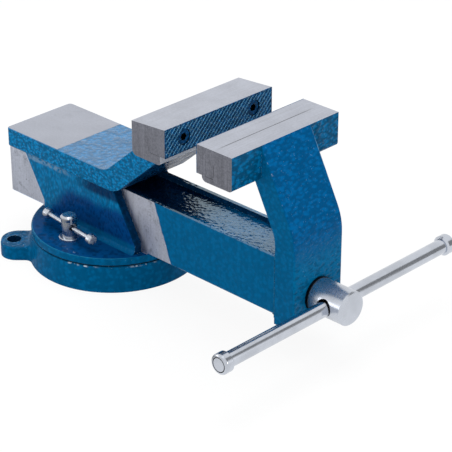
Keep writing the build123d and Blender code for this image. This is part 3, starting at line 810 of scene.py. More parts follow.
    # The tray: a painted shadow darkens it from about x = 0.118 back, under the housing and arm.
    TRAY = HammerPaint(
        "tray_paint", PAINT_TRAY, 0.14, 1.0, SHEEN_PALE, 1.86, pebble=0.0036, depth=0.00032,
        chips_and_glints=CHIP_DARK, painted_shading=PaintedShading(PAINT_TRAY_SHADOW, (-1.0, 0.0), -0.118, 0.016, 0.012),
    )
    TOP = GroundSteel("ground_top", STEEL_BRIGHT, 0.36, contrast=0.14)
    TOP_SEAM = GroundSteel(
        "ground_top_seam", STEEL_BRIGHT, 0.36, contrast=0.14,
        seams=(Line("X", 0.1875, "Y", -0.054, 0.050, 0.010, 0.0006),),
    )
    END = GroundSteel(
        "milled_end", STEEL_END, 0.42, grain=Grain.ALONG_Z, contrast=0.20, speckle=0.50, stain=0.3,
        pits=0.7, depth=0.00001,
        seams=(
            Line("X", 0.1875, "Z", 0.1600, 0.169, 0.002, 0.00034),
            Line("Z", 0.1570, "X", 0.1780, 0.187, 0.001, 0.00030),
            Line("X", 0.1142, "Z", 0.1590, 0.162, 0.002, 0.00034),
            Line("Z", 0.1570, "X", 0.1150, 0.126, 0.001, 0.00030),
        ),
    )
    LEDGE = GroundSteel("cast_ledge", STEEL_LEDGE, 0.7, contrast=0.06)
    ANVIL = PartPainted(
        "anvil_top", PAINT_BLUE, 0.3, 1.0, paint=ROOF_PAINT, steel=ANVIL_STEEL,
        line=PaintLine(x=-0.0301),
    )
    BEAM = PartPainted(
        "beam_side", PAINT_BLUE, 0.3, 0.03, SHEEN_BLUE, paint=RUN_PAINT, steel=SIDE_STEEL,
        line=PaintLine(x=0.0787, z=0.0854, lean=0.378),
    )
    # The jaw faces' blue is darker as painted shade in the gap between the jaws.
    CUT = HammerPaint("cut_paint", PAINT_CUT, 0.3, 0.06, depth=0.00005, mottle=0.4)
    # Painted highlight on the teeth's flanks and the screw heads' chamfers.
    CUT_HIGHLIGHT = HammerPaint("cut_painted_highlight", PAINT_CUT_HIGHLIGHT, 0.35, 0.1, depth=0.00005)
    TURNED = Polish("polished_round_x", STEEL_POLISHED, 0.27, grain=Grain.ROUND_X)
    DRAWN = Polish("polished_round_y", STEEL_POLISHED, 0.17, grain=Grain.ROUND_Y)
    ZINC = Speckled("zinc_plate", ZINC_GREY, 0.28)
    # Black oxide on screws and washers, black in dark joints, and painted shade on the jaw plates'
    # counterbore walls.
    BLACK = Speckled("black_oxide_and_painted_shade", BLACK_OXIDE_AND_SHADE, 0.35, contrast=0.4)
    IRON = Speckled("raw_iron", IRON_GREY, 0.6, grain_size=0.0018, depth=0.00006)


@cache
def material_of(look: Look) -> bpy.types.Material:
    """Makes a finish's material when it is first asked for, and keeps it."""
    return look.value.material()


def dress(piece: bpy.types.Object, pick: Callable[[Face], Look]) -> None:
    """Gives each face of a piece its finish, and reports the piece.

    Args:
        piece: The piece.
        pick: Chooses a face's finish.
    """
    mesh = piece.data
    chosen = [pick(face) for face in mesh.polygons]
    looks = list(dict.fromkeys(chosen))
    mesh.materials.clear()
    for look in looks:
        mesh.materials.append(material_of(look))
    mesh.polygons.foreach_set("material_index", [looks.index(look) for look in chosen])
    mesh.update()
    names = ", ".join(look.value.name for look in looks)
    LOG.info("%s: %d faces in %s", piece.name, len(chosen), names)


def dress_whole(names: list[str], look: Look) -> None:
    """Gives whole nodes one finish."""
    for name in names:
        dress(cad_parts[name], lambda face: look)


def linked(name: str, data: bpy.types.ID) -> bpy.types.Object:
    """Makes an object in the scene.

    Args:
        name: The object's name.
        data: Its mesh, lamp or camera.

    Returns:
        The object.
    """
    thing = bpy.data.objects.new(name, data)
    bpy.context.scene.collection.objects.link(thing)
    return thing


def stand(thing: bpy.types.Object, place: Place, towards: Vector) -> None:
    """Puts a lamp, a card or the camera in its place.

    Args:
        thing: The object.
        place: Where it stands.
        towards: Which way it looks.
    """
    thing.location = place
    thing.rotation_mode = "QUATERNION"
    thing.rotation_quaternion = towards.to_track_quat("-Z", "Y")


def new_piece(
    name: str, mesh: bpy.types.Mesh, body: str, slot: Slot, *nodes: str
) -> bpy.types.Object:
    """Links a finished mesh as a piece that stands for nodes.

    Args:
        name: The piece's name.
        mesh: Its mesh, in place.
        body: What it rides on.
        slot: The record's slot for its finish; not used.
        *nodes: The nodes that it stands for.

    Returns:
        The piece.
    """
    piece = linked(name, mesh)
    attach(piece, body)
    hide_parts(*nodes)
    return piece


def flat_mesh(name: str, placing: Matrix) -> bpy.types.Mesh:
    """Makes a flat mesh.

    Args:
        name: The mesh's name.
        placing: What scales, turns and moves it from a square metre.

    Returns:
        The mesh.
    """
    mesh = bpy.data.meshes.new(name)
    form = bmesh.new()
    bmesh.ops.create_grid(form, x_segments=1, y_segments=1, size=0.5, matrix=placing)
    form.to_mesh(mesh)
    form.free()
    return mesh


def copy_of(node: str) -> bmesh.types.BMesh:
    """Copies a node's mesh with its loose triangles merged.

    Args:
        node: The node's name.

    Returns:
        The copy.
    """
    form = bmesh.new()
    form.from_mesh(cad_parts[node].data)
    bmesh.ops.remove_doubles(form, verts=form.verts, dist=SAME_POINT)
    return form


def whole_of(form: bmesh.types.BMesh) -> list:
    """Lists all that a form is made of."""
    return form.verts[:] + form.edges[:] + form.faces[:]


def add_mesh(form: bmesh.types.BMesh, mesh: bpy.types.Mesh) -> None:
    """Moves a mesh into a form."""
    form.from_mesh(mesh)
    bpy.data.meshes.remove(mesh)


def mesh_from(form: bmesh.types.BMesh, name: str, crease_angle: float = 30.0) -> bpy.types.Mesh:
    """Turns an edited form into a mesh that is smooth but at its edges.

    Args:
        form: The form, which is freed.
        name: The mesh's name.
        crease_angle: Angle in degrees above which an edge stays sharp.

    Returns:
        The mesh.
    """
    mesh = bpy.data.meshes.new(name)
    limit = math.radians(crease_angle)
    for face in form.faces:
        face.smooth = True
    for edge in form.edges:
        edge.smooth = len(edge.link_faces) == 2 and edge.calc_face_angle(0.0) < limit
    form.to_mesh(mesh)
    form.free()
    return mesh


class FormTree(Graph):
    """A geometry tree with named inputs, run once into a plain mesh."""

    def __init__(self, name: str, sizes: dict[str, float | int]) -> None:
        """Makes the tree and its inputs.

        Args:
            name: The tree's name.
            sizes: Its inputs and their values.
        """
        tree = bpy.data.node_groups.new(name, "GeometryNodeTree")
        super().__init__(tree)
        self.values: dict[str, float | int] = {}
        for label, value in sizes.items():
            kind = "NodeSocketInt" if isinstance(value, int) else "NodeSocketFloat"
            socket = tree.interface.new_socket(label, in_out="INPUT", socket_type=kind)
            self.values[socket.identifier] = value
        tree.interface.new_socket("Geometry", in_out="OUTPUT", socket_type="NodeSocketGeometry")
        self.size = self.add("NodeGroupInput").outputs
        self.out = self.add("NodeGroupOutput")

    def vector(self, x: Value, y: Value, z: Value) -> Socket:
        """Joins three values to a vector."""
        return self.add("ShaderNodeCombineXYZ", {0: x, 1: y, 2: z}).outputs[0]

    def here(self) -> bpy.types.bpy_prop_collection:
        """Gives the coordinates of every point."""
        position = self.add("GeometryNodeInputPosition").outputs[0]
        return self.add("ShaderNodeSeparateXYZ", {0: position}).outputs

    def put(self, geometry: Socket, position: Socket) -> Socket:
        """Puts every point somewhere else."""
        inputs = {"Geometry": geometry, "Position": position}
        return self.add("GeometryNodeSetPosition", inputs).outputs[0]

    def moved(self, geometry: Socket, **placing: Value) -> Socket:
        """Moves geometry by a Translation, a Rotation or both."""
        return self.add("GeometryNodeTransform", {"Geometry": geometry, **placing}).outputs[0]

    def gather(self, node: bpy.types.Node, number: int, *parts: Socket) -> Socket:
        """Links parts to an input that takes several.

        Args:
            node: The node.
            number: The input's number.
            *parts: The parts, in order.

        Returns:
            The node's output.
        """
        for part in parts:
            self.feed(node.inputs[number], part)
        return node.outputs[0]

    def joined(self, *parts: Socket) -> Socket:
        """Joins geometry without changing it."""
        return self.gather(self.add("GeometryNodeJoinGeometry"), 0, *parts)

    def common(self, *parts: Socket) -> Socket:
        """Keeps what is inside all the parts."""
        exact = {"operation": "INTERSECT", "solver": "EXACT"}
        return self.gather(self.add("GeometryNodeMeshBoolean", **exact), 1, *parts)

    def cut(self, whole: Socket, *parts: Socket) -> Socket:
        """Cuts parts out of a whole."""
        exact = {"operation": "DIFFERENCE", "solver": "EXACT"}
        return self.gather(self.add("GeometryNodeMeshBoolean", {0: whole}, **exact), 1, *parts)

    def bake(self, geometry: Socket, look: Look) -> bpy.types.Mesh:
        """Runs the tree and keeps the result.

        Args:
            geometry: What the tree gives out.
            look: Its finish.

        Returns:
            A plain mesh.
        """
        real = self.add("GeometryNodeRealizeInstances", {0: geometry}).outputs[0]
        finish = {"Geometry": real, "Material": material_of(look)}
        self.feed(self.out.inputs[0], self.add("GeometryNodeSetMaterial", finish).outputs[0])
        holder = linked(self.tree.name, bpy.data.meshes.new(self.tree.name))
        modifier = holder.modifiers.new(self.tree.name, "NODES")
        modifier.node_group = self.tree
        for identifier, value in self.values.items():
            modifier[identifier] = value
        ready = holder.evaluated_get(bpy.context.evaluated_depsgraph_get())
        mesh = bpy.data.meshes.new_from_object(ready)
        holder.modifiers.remove(modifier)
        bpy.data.objects.remove(holder)
        return mesh


@dataclass
class SwivelBase:
    """The base on the bench, with its bolt holes on one line through the swivel's axis."""

    seat_radius: float = 0.0728
    slot_floor: float = 0.0051
    hole_reach: float = 0.0910
    hole_angle: float = 44.0
    hole_radius: float = 0.0066

    def build(self) -> None:
        """Dresses the base."""
        dress(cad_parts["swivel_base"], self.look)

    def look(self, face: Face) -> Look:
        """Chooses a face's finish: painted shade in bolt holes, and raw under, in the slot and
        seat.

        Args:
            face: The face.

        Returns:
            Its finish.
        """
        middle, normal = face.center, face.normal
        inside = math.hypot(middle.x, middle.y) < self.seat_radius and middle.z > self.slot_floor
        if inside or normal.z < -FACING:
            return Look.IRON
        turn = math.radians(self.hole_angle)
        hole = Vector((math.cos(turn), math.sin(turn))) * self.hole_reach
        # Bolt holes take painted shade.
        if min((middle.xy - hole).length, (middle.xy + hole).length) < self.hole_radius:
            return Look.CORNER
        return Look.LUG if normal.z > FACING else Look.BASE


@dataclass
class JawHead:
    """A jaw's head: where its plate grips and which way it lies behind that, and its bare faces."""

    top: Look
    face: float
    away: float
    half_width: float = 0.0625
    plate_bottom: float = 0.157
    plate_middle: float = 0.1695

    def bare(self, face: Face) -> Look | None:
        """Gives the finish of a bare face of head or plate.

        Args:
            face: The face.

        Returns:
            A finish, or None on a painted face.
        """
        middle, normal = face.center, face.normal
        if normal.z > FACING and middle.z > self.plate_middle:
            return self.top
        if abs(normal.y) > FACING and abs(abs(middle.y) - self.half_width) < ON_PLANE:
            return Look.END
        return None


@dataclass
class FixedHalf:
    """Swivel disc, housing, anvil roof, arm and fixed jaw head."""

    head: JawHead
    roof_top: float = 0.1046
    roof_bottom: float = 0.0871
    disc_top: float = 0.032
    disc_bottom: float = 0.0244
    disc_radius: float = 0.0745
    rim_relief: float = 0.0009
    rim_relief_width: float = 0.005
    beam_half_width: float = 0.0251
    lip: float = 0.1235
    under_slope: float = -0.3
    roof_slope: float = 0.6
    front_slope: float = 0.5

    def build(self) -> None:
        """Dresses the casting."""
        dress(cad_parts["fixed_body"], self.look)

    def look(self, face: Face) -> Look:
        """Chooses a face's finish.

        Args:
            face: The face.

        Returns:
            Its finish.
        """
        middle, normal = face.center, face.normal
        bare = self.head.bare(face)
        if bare is not None:
            return bare
        if middle.x > self.lip:
            return Look.LEDGE
        if normal.z > FACING and abs(middle.z - self.roof_top) < ON_PLANE:
            return Look.ANVIL
        if middle.z > self.roof_bottom - ON_PLANE:
            # Faces under the roof and arm take painted shade.
            if normal.z < self.under_slope:
                return Look.UNDER
            return Look.ROOF if normal.z > self.roof_slope else Look.BRIM
        if abs(middle.y) < self.beam_half_width and middle.z > self.disc_top - ON_PLANE:
            return Look.SIDE
        if middle.z > self.disc_top + ON_PLANE:
            # The housing's front-facing faces take painted shade.
            return Look.CORNER if normal.x > self.front_slope else Look.WALL
        if normal.z > FACING:
            return Look.DISC
        inner = self.disc_radius - self.rim_relief_width
        if math.hypot(middle.x, middle.y) < inner + ON_PLANE:
            return Look.IRON
        rim_bottom = self.disc_bottom + self.rim_relief
        return Look.BASE if middle.z > rim_bottom + ON_PLANE else Look.BLACK


@dataclass
class MovingHalf:
    """Beam, upright, foot and moving jaw head."""

    head: JawHead
    upright_rear: float = 0.2224
    upright_half_width: float = 0.029
    beam_top: float = 0.0868
    beam_half_width: float = 0.02465
    tray_floor: float = 0.0818
    beam_edge: float = 0.001
    beam_blend: float = 0.004
    lip: float = 0.1795
    front_slope: float = 0.3

    def build(self) -> None:
        """Dresses the casting."""
        dress(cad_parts["moving_jaw"], self.look)

    def look(self, face: Face) -> Look:
        """Chooses a face's finish.

        Args:
            face: The face.

        Returns:
            Its finish.
        """
        middle, normal = face.center, face.normal
        sideways = abs(normal.y) > FACING
        above = middle.z > self.beam_top + self.beam_edge
        bare = self.head.bare(face)
        if bare is not None:
            return bare
        if above and middle.x < self.lip:
            return Look.LEDGE
        if abs(middle.y) > self.upright_half_width + ON_PLANE:
            return Look.BACK
        if above or middle.x > self.upright_rear - self.beam_blend - ON_PLANE:
            if sideways:
                return Look.UPRIGHT
            return Look.FRONT if normal.x > self.front_slope else Look.PEBBLED
        if sideways and abs(abs(middle.y) - self.beam_half_width) < ON_PLANE:
            return Look.BEAM
        if middle.z > self.tray_floor - ON_PLANE:
            # The tray's side walls take painted shade.
            return Look.UNDER if sideways else Look.TRAY
        outer = abs(middle.y) > self.beam_half_width - self.beam_edge - ON_PLANE
        return Look.BEAM if outer else Look.SIDE


@dataclass
class JawPlate:
    """A jaw plate whose gripping face is cut crosswise and painted."""

    node: str
    body: Body
    head: JawHead
    height: float = 0.025
    width: float = 0.125
    pitch: float = 0.005
    groove: float = 0.0004
    narrowing: float = 0.15
    foot_share: float = 0.98
    depth: float = 0.0006
    sink: float = 0.00005
    rim: float = 0.0008
    clear: float = 1.02
    through: float = 4.0
    screw_spacing: float = 0.0814
    screw_height: float = 0.1696
    counterbore: float = 0.0070
    counterbore_sides: int = 48
    crease_angle: float = 20.0

    def build(self) -> None:
        """Cuts and dresses the plate."""
        form = copy_of(self.node)
        for vert in form.verts:
            if abs(vert.co.x - self.head.face) < ON_PLANE:
                vert.co.x += self.head.away * self.depth
        add_mesh(form, self.teeth())
        name = self.node + "_cut"
        mesh = mesh_from(form, name, self.crease_angle)
        dress(new_piece(name, mesh, self.body.value, Slot.JAW, self.node), self.look)

    def look(self, face: Face) -> Look:
        """Chooses a face's finish.

        Args:
            face: The face.

        Returns:
            Its finish.
        """
        middle, normal = face.center, face.normal
        if (middle.x - self.head.face) * self.head.away > self.depth + ON_PLANE:
            bare = self.head.bare(face)
            if bare is not None:
                return bare
            bottom = abs(middle.z - self.head.plate_bottom) < ON_PLANE
            # The walls of the counterbores and holes take the black as painted shade.
            return Look.END if bottom or abs(normal.x) > FACING else Look.BLACK
        aside, rise = abs(middle.y) - self.screw_spacing / 2, middle.z - self.screw_height
        hole = math.hypot(aside, rise) < self.counterbore * self.clear
        # The teeth's flanks outside the counterbores take a painted highlight.
        flank = max(abs(part) for part in normal) < FACING
        return Look.CUT_HIGHLIGHT if flank and not hole else Look.CUT

    def teeth(self) -> bpy.types.Mesh:
        """Stands flat-topped diamonds on the face and trims them to it, inside a plain rim.

        Returns:
            The teeth in place.
        """
        sizes = {
            "Pitch": self.pitch,
            "Groove": self.groove,
            "Narrowing": self.narrowing,
            "Depth": self.depth + self.sink,
            "Screw Side": self.screw_spacing / 2,
            "Counterbore": self.counterbore,
            "Height": self.height,
            "Width": self.width,
            "Rim": self.rim,
        }
        tree = FormTree(self.node + "_teeth", sizes)
        away, middle = self.head.away, self.head.plate_bottom + self.height / 2
        rows, columns = (round(side / self.pitch) + 1 for side in (self.height, self.width))
        grids = [self.lattice(tree, columns - fewer, rows - fewer) for fewer in (0, 1)]
        points = {"Points": tree.joined(*grids), "Instance": self.stud(tree)}
        studs = tree.add("GeometryNodeInstanceOnPoints", points).outputs[0]
        studs = tree.add("GeometryNodeRealizeInstances", {0: studs}).outputs[0]
        trimmed = tree.common(studs, self.blank(tree, (self.screw_height - middle) * away))
        placed = tree.moved(
            tree.joined(trimmed, self.border(tree)),
            Translation=(self.head.face + away * (self.depth + self.sink), 0.0, middle),
            Rotation=(0.0, -away * math.pi / 2, 0.0),
        )
        return tree.bake(placed, Look.CUT)

    def stud(self, tree: FormTree) -> Socket:
        """Makes one diamond, with a wide cut on two of its sides and a fine one on the others.

        Args:
            tree: The tree.

        Returns:
            The diamond.
        """
        size = tree.size
        half = tree.times(size["Pitch"], 0.5)
        cone = {
            "Vertices": 4,
            "Radius Top": tree.minus(half, tree.times(size["Groove"], math.sqrt(0.5))),
            "Radius Bottom": tree.times(half, self.foot_share),
            "Depth": size["Depth"],
        }
        quarter = self.head.away * math.pi / 4
        stud = tree.add("GeometryNodeMeshCone", cone).outputs["Mesh"]
        stud = tree.moved(stud, Rotation=(0.0, 0.0, quarter))
        here = tree.here()
        risen = tree.maths("DIVIDE", here["Z"], size["Depth"])
        closer = tree.minus(1.0, tree.times(risen, size["Narrowing"]))
        stud = tree.put(stud, tree.vector(tree.times(here["X"], closer), here["Y"], here["Z"]))
        return tree.moved(stud, Rotation=(0.0, 0.0, -quarter))

    def blank(self, tree: FormTree, rise: float) -> Socket:
        """Makes the block that the teeth are trimmed to, with its two screw holes.

        Args:
            tree: The tree.
            rise: How far the screws sit from the block's middle.

        Returns:
            The block.
        """
        size = tree.size
        thick = tree.times(size["Depth"], self.through)
        block = self.block(tree, self.clear, thick)
        drill = {
            "Vertices": self.counterbore_sides,
            "Radius": size["Counterbore"],
            "Depth": tree.times(thick, 2.0),
        }
        hole = tree.add("GeometryNodeMeshCylinder", drill).outputs["Mesh"]
        sides = [tree.times(size["Screw Side"], side) for side in (-1.0, 1.0)]
        holes = [tree.moved(hole, Translation=tree.vector(rise, side, 0.0)) for side in sides]
        return tree.cut(block, *holes)

    def block(self, tree: FormTree, rims: float, thick: Socket) -> Socket:
        """Makes a block as large as the face, less its rim.

        Args:
            tree: The tree.
            rims: Rims that it is short of the face on each side.
            thick: Its thickness.

        Returns:
            The block.
        """
        less = tree.times(tree.size["Rim"], 2.0 * rims)
        sides = [tree.minus(tree.size[name], less) for name in ("Height", "Width")]
        return tree.add("GeometryNodeMeshCube", {"Size": tree.vector(*sides, thick)}).outputs[0]

    def border(self, tree: FormTree) -> Socket:
        """Makes the plain rim round the teeth.

        Args:
            tree: The tree.

        Returns:
            The rim.
        """
        depth = tree.size["Depth"]
        lifted = tree.vector(0.0, 0.0, tree.times(depth, 0.5))
        outer = tree.moved(self.block(tree, 0.0, depth), Translation=lifted)
        return tree.cut(outer, self.block(tree, 1.0, tree.times(depth, self.through)))

    def lattice(self, tree: FormTree, columns: int, rows: int) -> Socket:
        """Lays out one of the two square grids of diamonds.

        Args:
            tree: The tree.
            columns: Diamonds across the jaw.
            rows: Diamonds up the jaw.

        Returns:
            The grid's points.
        """
        wide, tall = (tree.times(tree.size["Pitch"], float(n - 1)) for n in (columns, rows))
        inputs = {"Size X": tall, "Size Y": wide, "Vertices X": rows, "Vertices Y": columns}
        return tree.add("GeometryNodeMeshGrid", inputs).outputs["Mesh"]


@dataclass
class JawScrews:
    """The socket screws of one jaw plate, painted over with the plate."""

    node: str
    head: JawHead
    recess: float = 0.0025
    edge_slope: float = 0.3

    def build(self) -> None:
        """Dresses the screws."""
        dress(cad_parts[self.node], self.look)

    def look(self, face: Face) -> Look:
        """Chooses a face's finish: painted on the heads' tops, black in their sockets and sides.

        Args:
            face: The face.

        Returns:
            Its finish.
        """
        behind = (face.center.x - self.head.face) * self.head.away
        outward = -face.normal.x * self.head.away
        if behind > self.recess or outward < self.edge_slope:
            return Look.BLACK
        # Screw-head chamfers take a painted highlight.
        return Look.CUT if outward > FACING else Look.CUT_HIGHLIGHT


@dataclass
class Spindle:
    """The spindle: polished head and shaft, and a cut thread."""

    height: float = 0.052
    thread_start: float = -0.084
    thread_end: float = 0.1983
    overlap: float = 0.0004
    thread_radius: float = 0.011
    lead: float = 0.005
    thread_depth: float = 0.0025
    flank_middle: float = 0.25
    flank_share: float = 0.16
    around: int = 40
    steps: int = 10

    def build(self) -> None:
        """Cuts the thread and polishes the rest."""
        form = copy_of("spindle")
        plane = {"plane_co": (self.thread_end, 0, 0), "plane_no": (1, 0, 0)}
        bmesh.ops.bisect_plane(form, geom=whole_of(form), dist=ON_PLANE, clear_inner=True, **plane)
        add_mesh(form, self.thread())
        bmesh.ops.holes_fill(form, edges=[edge for edge in form.edges if edge.is_boundary])
        bmesh.ops.recalc_face_normals(form, faces=form.faces)
        name = "spindle_threaded"
        mesh = mesh_from(form, name)
        dress(new_piece(name, mesh, Body.SPINDLE.value, Slot.POLISHED, "spindle"), self.look)

    def look(self, face: Face) -> Look:
        """Chooses a face's finish."""
        return Look.SIDE if face.center.x < self.thread_end else Look.TURNED

    def thread(self) -> bpy.types.Mesh:
        """Wraps a grid round the axis and sinks the thread's groove in it.

        Returns:
            The threaded rod in place.
        """
        end = self.thread_end + self.overlap
        length = end - self.thread_start
        sizes = {
            "Length": length,
            "Radius": self.thread_radius,
            "Lead": self.lead,
            "Depth": self.thread_depth,
            "Along": int(length / self.lead * self.steps),
            "Around": self.around + 1,
        }
        tree = FormTree("spindle_thread", sizes)
        size = tree.size
        counts = {"Vertices X": size["Along"], "Vertices Y": size["Around"]}
        flat = {"Size X": size["Length"], "Size Y": 1.0, **counts}
        grid = tree.add("GeometryNodeMeshGrid", flat).outputs["Mesh"]
        here = tree.here()
        turn = tree.minus(tree.maths("DIVIDE", here["X"], size["Lead"]), here["Y"])
        slope = tree.maths("ABSOLUTE", tree.minus(tree.maths("FRACT", turn), 0.5))
        flank = {
            "Value": slope,
            "From Min": self.flank_middle - self.flank_share / 2,
            "From Max": self.flank_middle + self.flank_share / 2,
        }
        groove = tree.add("ShaderNodeMapRange", flank).outputs[0]
        radius = tree.minus(size["Radius"], tree.times(groove, size["Depth"]))
        angle = tree.times(here["Y"], 2 * math.pi)
        wrapped = tree.vector(
            tree.plus(here["X"], (self.thread_start + end) / 2),
            tree.times(radius, tree.maths("COSINE", angle)),
            tree.plus(self.height, tree.times(radius, tree.maths("SINE", angle))),
        )
        seam = {"Geometry": tree.put(grid, wrapped), "Distance": SAME_POINT}
        return tree.bake(tree.add("GeometryNodeMergeByDistance", seam).outputs[0], Look.SIDE)


@dataclass
class Handle:
    """The sliding handle bar and its caps."""

    ends: tuple[float, float] = (-0.1345, 0.145)
    end_edge: float = 0.0008

    def build(self) -> None:
        """Dresses the bar and its caps."""
        dress(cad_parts["handle_bar"], self.look)
        dress_whole(["handle_cap_left", "handle_cap_right"], Look.DRAWN)

    def look(self, face: Face) -> Look:
        """Chooses a face's finish: bright, but dark in the ring round each end of the bar.

        Args:
            face: The face.

        Returns:
            Its finish.
        """
        inset = min(abs(face.center.y - end) for end in self.ends)
        ring = ON_PLANE < inset < self.end_edge and abs(face.normal.y) < FACING
        return Look.BLACK if ring else Look.DRAWN


@dataclass
class ClampScrew:
    """A clamp's screw, its head forged to an eye: broader across its bar, with a spread top."""

    side: str
    turn: float
    shoulder: float = 0.0342
    across: float = 1.22
    crown: float = 1.14
    crown_across: float = 0.3
    crown_start: float = 0.0496
    crown_end: float = 0.0526
    rings: int = 5

    def build(self) -> None:
        """Spreads the head of the plain screw."""
        node = f"clamp_screw_{self.side}"
        low, high = (Vector(corner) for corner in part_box(f"clamp_washer_{self.side}"))
        axis = (low + high) / 2
        form = copy_of(node)
        for ring in range(self.rings + 1):
            level = self.crown_start + (self.crown_end - self.crown_start) * ring / self.rings
            plane = {"plane_co": (0, 0, level), "plane_no": (0, 0, 1)}
            bmesh.ops.bisect_plane(form, geom=whole_of(form), **plane)
        for vert in form.verts:
            if vert.co.z > self.shoulder:
                vert.co = self.spread(vert.co, axis)
        name = node + "_forged"
        piece = new_piece(name, mesh_from(form, name), node, Slot.ZINC, node)
        dress(piece, lambda face: Look.ZINC)

    def spread(self, place: Vector, axis: Vector) -> Vector:
        """Moves a point of the head outwards.

        Args:
            place: The point.
            axis: A point on the screw's axis.

        Returns:
            Where it goes.
        """
        share = (place.z - self.crown_start) / (self.crown_end - self.crown_start)
        share = min(1.0, max(0.0, share))
        wider = 1.0 + (self.crown - 1.0) * share * share * (3.0 - 2.0 * share)
        across = self.across * (1.0 + (wider - 1.0) * self.crown_across)
        turn = Matrix.Rotation(math.radians(self.turn), 2)
        aside = turn.transposed() @ (place.xy - axis.xy)
        aside = turn @ Vector((aside.x * wider, aside.y * across))
        return Vector((axis.x + aside.x, axis.y + aside.y, place.z))


@dataclass(frozen=True)
class Lamp:
    """A soft lamp."""

    name: str
    place: Place
    watts: float
    size: float
    mirrored: bool = False

    def light(self, aim: Vector) -> None:
        """Hangs the lamp and points it.

        Args:
            aim: What it points at.
        """
        data = bpy.data.lights.new(self.name, "AREA")
        data.energy = self.watts
        data.shape = "SQUARE"
        data.size = self.size
        lamp = linked(self.name, data)
        stand(lamp, self.place, aim - Vector(self.place))
        lamp.visible_glossy = self.mirrored


@dataclass(frozen=True)
class Flag:
    """A grey card beside the set, which only polished metal shows."""

    name: str
    place: Place
    width: float
    height: float
    tone: float
    tilt: float = 0.0
    lying: bool = False

    def hang(self, aim: Vector) -> None:
        """Hangs the card and points it, or lays it flat.

        Args:
            aim: What it points at.
        """
        size = Matrix.Diagonal((self.width, self.height, 1.0, 1.0))
        mesh = flat_mesh(self.name, Matrix.Rotation(math.radians(self.tilt), 4, "Z") @ size)
        card = linked(self.name, mesh)
        up = Vector((0.0, 0.0, 1.0))
        stand(card, self.place, up if self.lying else aim - Vector(self.place))
        shade = Shade(self.name)
        grey = {"Color": (self.tone, self.tone, self.tone, 1.0)}
        shade.surface(shade.add("ShaderNodeEmission", grey).outputs[0])
        mesh.materials.append(shade.material)
        for kind in ("camera", "diffuse", "transmission", "shadow", "volume_scatter"):
            setattr(card, "visible_" + kind, False)


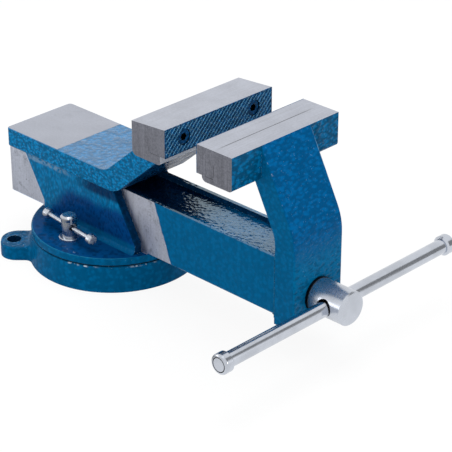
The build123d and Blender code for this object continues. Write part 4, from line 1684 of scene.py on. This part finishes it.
@dataclass
class Studio:
    """Pale floor, white background, soft lamps and the photograph's camera."""

    camera_place: Place = (1.1256, -1.0088, 0.8025)
    azimuth: float = 44.327
    elevation: float = 27.248
    lens: float = 150.15
    sensor: float = 36.0
    clip: tuple[float, float] = (0.05, 100.0)
    floor_width: float = 60.0
    floor_gap: float = 0.0002
    floor_tone: float = 0.86
    floor_rough: float = 0.9
    floor_specular: float = 0.1
    floor_glow: float = 0.9
    aim: Place = (0.08, 0.0, 0.09)
    ambient: float = 0.62
    lamps: tuple[Lamp, ...] = (
        Lamp("overhead", (-0.15, 0.25, 1.7), 22.0, 1.3),
        Lamp("front_fill", (1.3, -1.6, 1.2), 12.0, 1.4),
        Lamp("glint_left", (-0.73, -1.0, 0.22), 2.3, 0.28, True),
        Lamp("glint_right", (1.43, 0.46, 0.42), 1.8, 0.11, True),
        Lamp("glint_above", (0.28, -0.25, 1.5), 1.2, 0.3, True),
    )
    flags: tuple[Flag, ...] = (
        Flag("flag_right", (0.75, 0.60, 0.45), 0.36, 1.0, 0.3, 18.0),
        Flag("flag_floor", (-0.29, -0.52, 0.0), 0.91, 1.0, 0.4, lying=True),
    )

    def build(self) -> None:
        """Sets up everything that isn't the vise."""
        self.background()
        self.floor()
        self.camera()
        for lamp in self.lamps:
            lamp.light(Vector(self.aim))
        for flag in self.flags:
            flag.hang(Vector(self.aim))
        bpy.context.scene.view_settings.view_transform = "Standard"
        LOG.info("studio: %d lamps and %d cards", len(self.lamps), len(self.flags))

    def seen(self, graph: Graph) -> Socket:
        """Tells what the eye, a mirror or glass sees from what only lights the vise.

        Args:
            graph: The tree.

        Returns:
            1 where it is seen.
        """
        path = graph.add("ShaderNodeLightPath").outputs
        first = graph.maths("MAXIMUM", path["Is Camera Ray"], path["Is Glossy Ray"])
        return graph.maths("MAXIMUM", first, path["Is Transmission Ray"])

    def background(self) -> None:
        """Makes the white surroundings."""
        world = bpy.data.worlds.new("white_room")
        bpy.context.scene.world = world
        world.use_nodes = True
        graph = Graph(world.node_tree)
        back = world.node_tree.nodes["Background"]
        back.inputs["Color"].default_value = (*WHITE, 1.0)
        inputs = {"Value": self.seen(graph), "To Min": self.ambient, "To Max": 1.0}
        graph.feed(back.inputs["Strength"], graph.add("ShaderNodeMapRange", inputs).outputs[0])

    def floor(self) -> None:
        """Lays the pale floor, which keeps a faint shadow."""
        size = Matrix.Diagonal((self.floor_width, self.floor_width, 1.0, 1.0))
        mesh = flat_mesh("floor", Matrix.Translation((0.0, 0.0, -self.floor_gap)) @ size)
        floor = linked("floor", mesh)
        shade = Shade("pale_floor")
        sockets = shade.shader.inputs
        sockets["Base Color"].default_value = (*(self.floor_tone,) * 3, 1.0)
        sockets["Roughness"].default_value = self.floor_rough
        sockets["Specular IOR Level"].default_value = self.floor_specular
        glow = shade.add("ShaderNodeEmission", {"Color": (*WHITE, 1.0)}).outputs[0]
        share = shade.times(self.seen(shade), self.floor_glow)
        parts = {0: share, 1: shade.shader.outputs[0], 2: glow}
        shade.surface(shade.add("ShaderNodeMixShader", parts).outputs[0])
        mesh.materials.append(shade.material)

    def camera(self) -> None:
        """Stands the camera where the photograph was taken."""
        data = bpy.data.cameras.new("camera")
        data.lens = self.lens
        data.sensor_width = self.sensor
        data.clip_start, data.clip_end = self.clip
        camera = linked("camera", data)
        turn, lift = math.radians(self.azimuth), math.radians(self.elevation)
        level = math.cos(lift)
        back = Vector((math.sin(turn) * level, -math.cos(turn) * level, math.sin(lift)))
        stand(camera, self.camera_place, -back)
        bpy.context.scene.camera = camera


def main() -> None:
    """Builds and dresses the vise, then sets up the studio."""
    logging.basicConfig(level=logging.INFO, format="%(name)s: %(message)s")
    fixed = JawHead(Look.TOP, face=0.1332, away=-1.0)
    moving = JawHead(Look.TOP_SEAM, face=0.1685, away=1.0)
    SwivelBase().build()
    FixedHalf(fixed).build()
    MovingHalf(moving).build()
    JawPlate("fixed_jaw_plate", Body.FIXED, fixed).build()
    JawPlate("moving_jaw_plate", Body.MOVING, moving).build()
    JawScrews("fixed_jaw_screws", fixed).build()
    JawScrews("moving_jaw_screws", moving).build()
    Spindle().build()
    Handle().build()
    ClampScrew("near", turn=-6.4).build()
    ClampScrew("far", turn=6.4).build()
    clamp_nodes = ("clamp_nut", "clamp_washer", "clamp_bar", "clamp_bar_knobs")
    dress_whole([f"{node}_{side}" for node in clamp_nodes for side in ("near", "far")], Look.ZINC)
    dress_whole(["pivot_bolt", "pivot_washer", "spindle_collar", "collar_pin"], Look.ZINC)
    dress_whole(["spindle_nut_screws", "spindle_washer"], Look.BLACK)
    dress_whole(["spindle_nut"], Look.IRON)
    Studio().build()


if __name__ == "__main__":
    main()
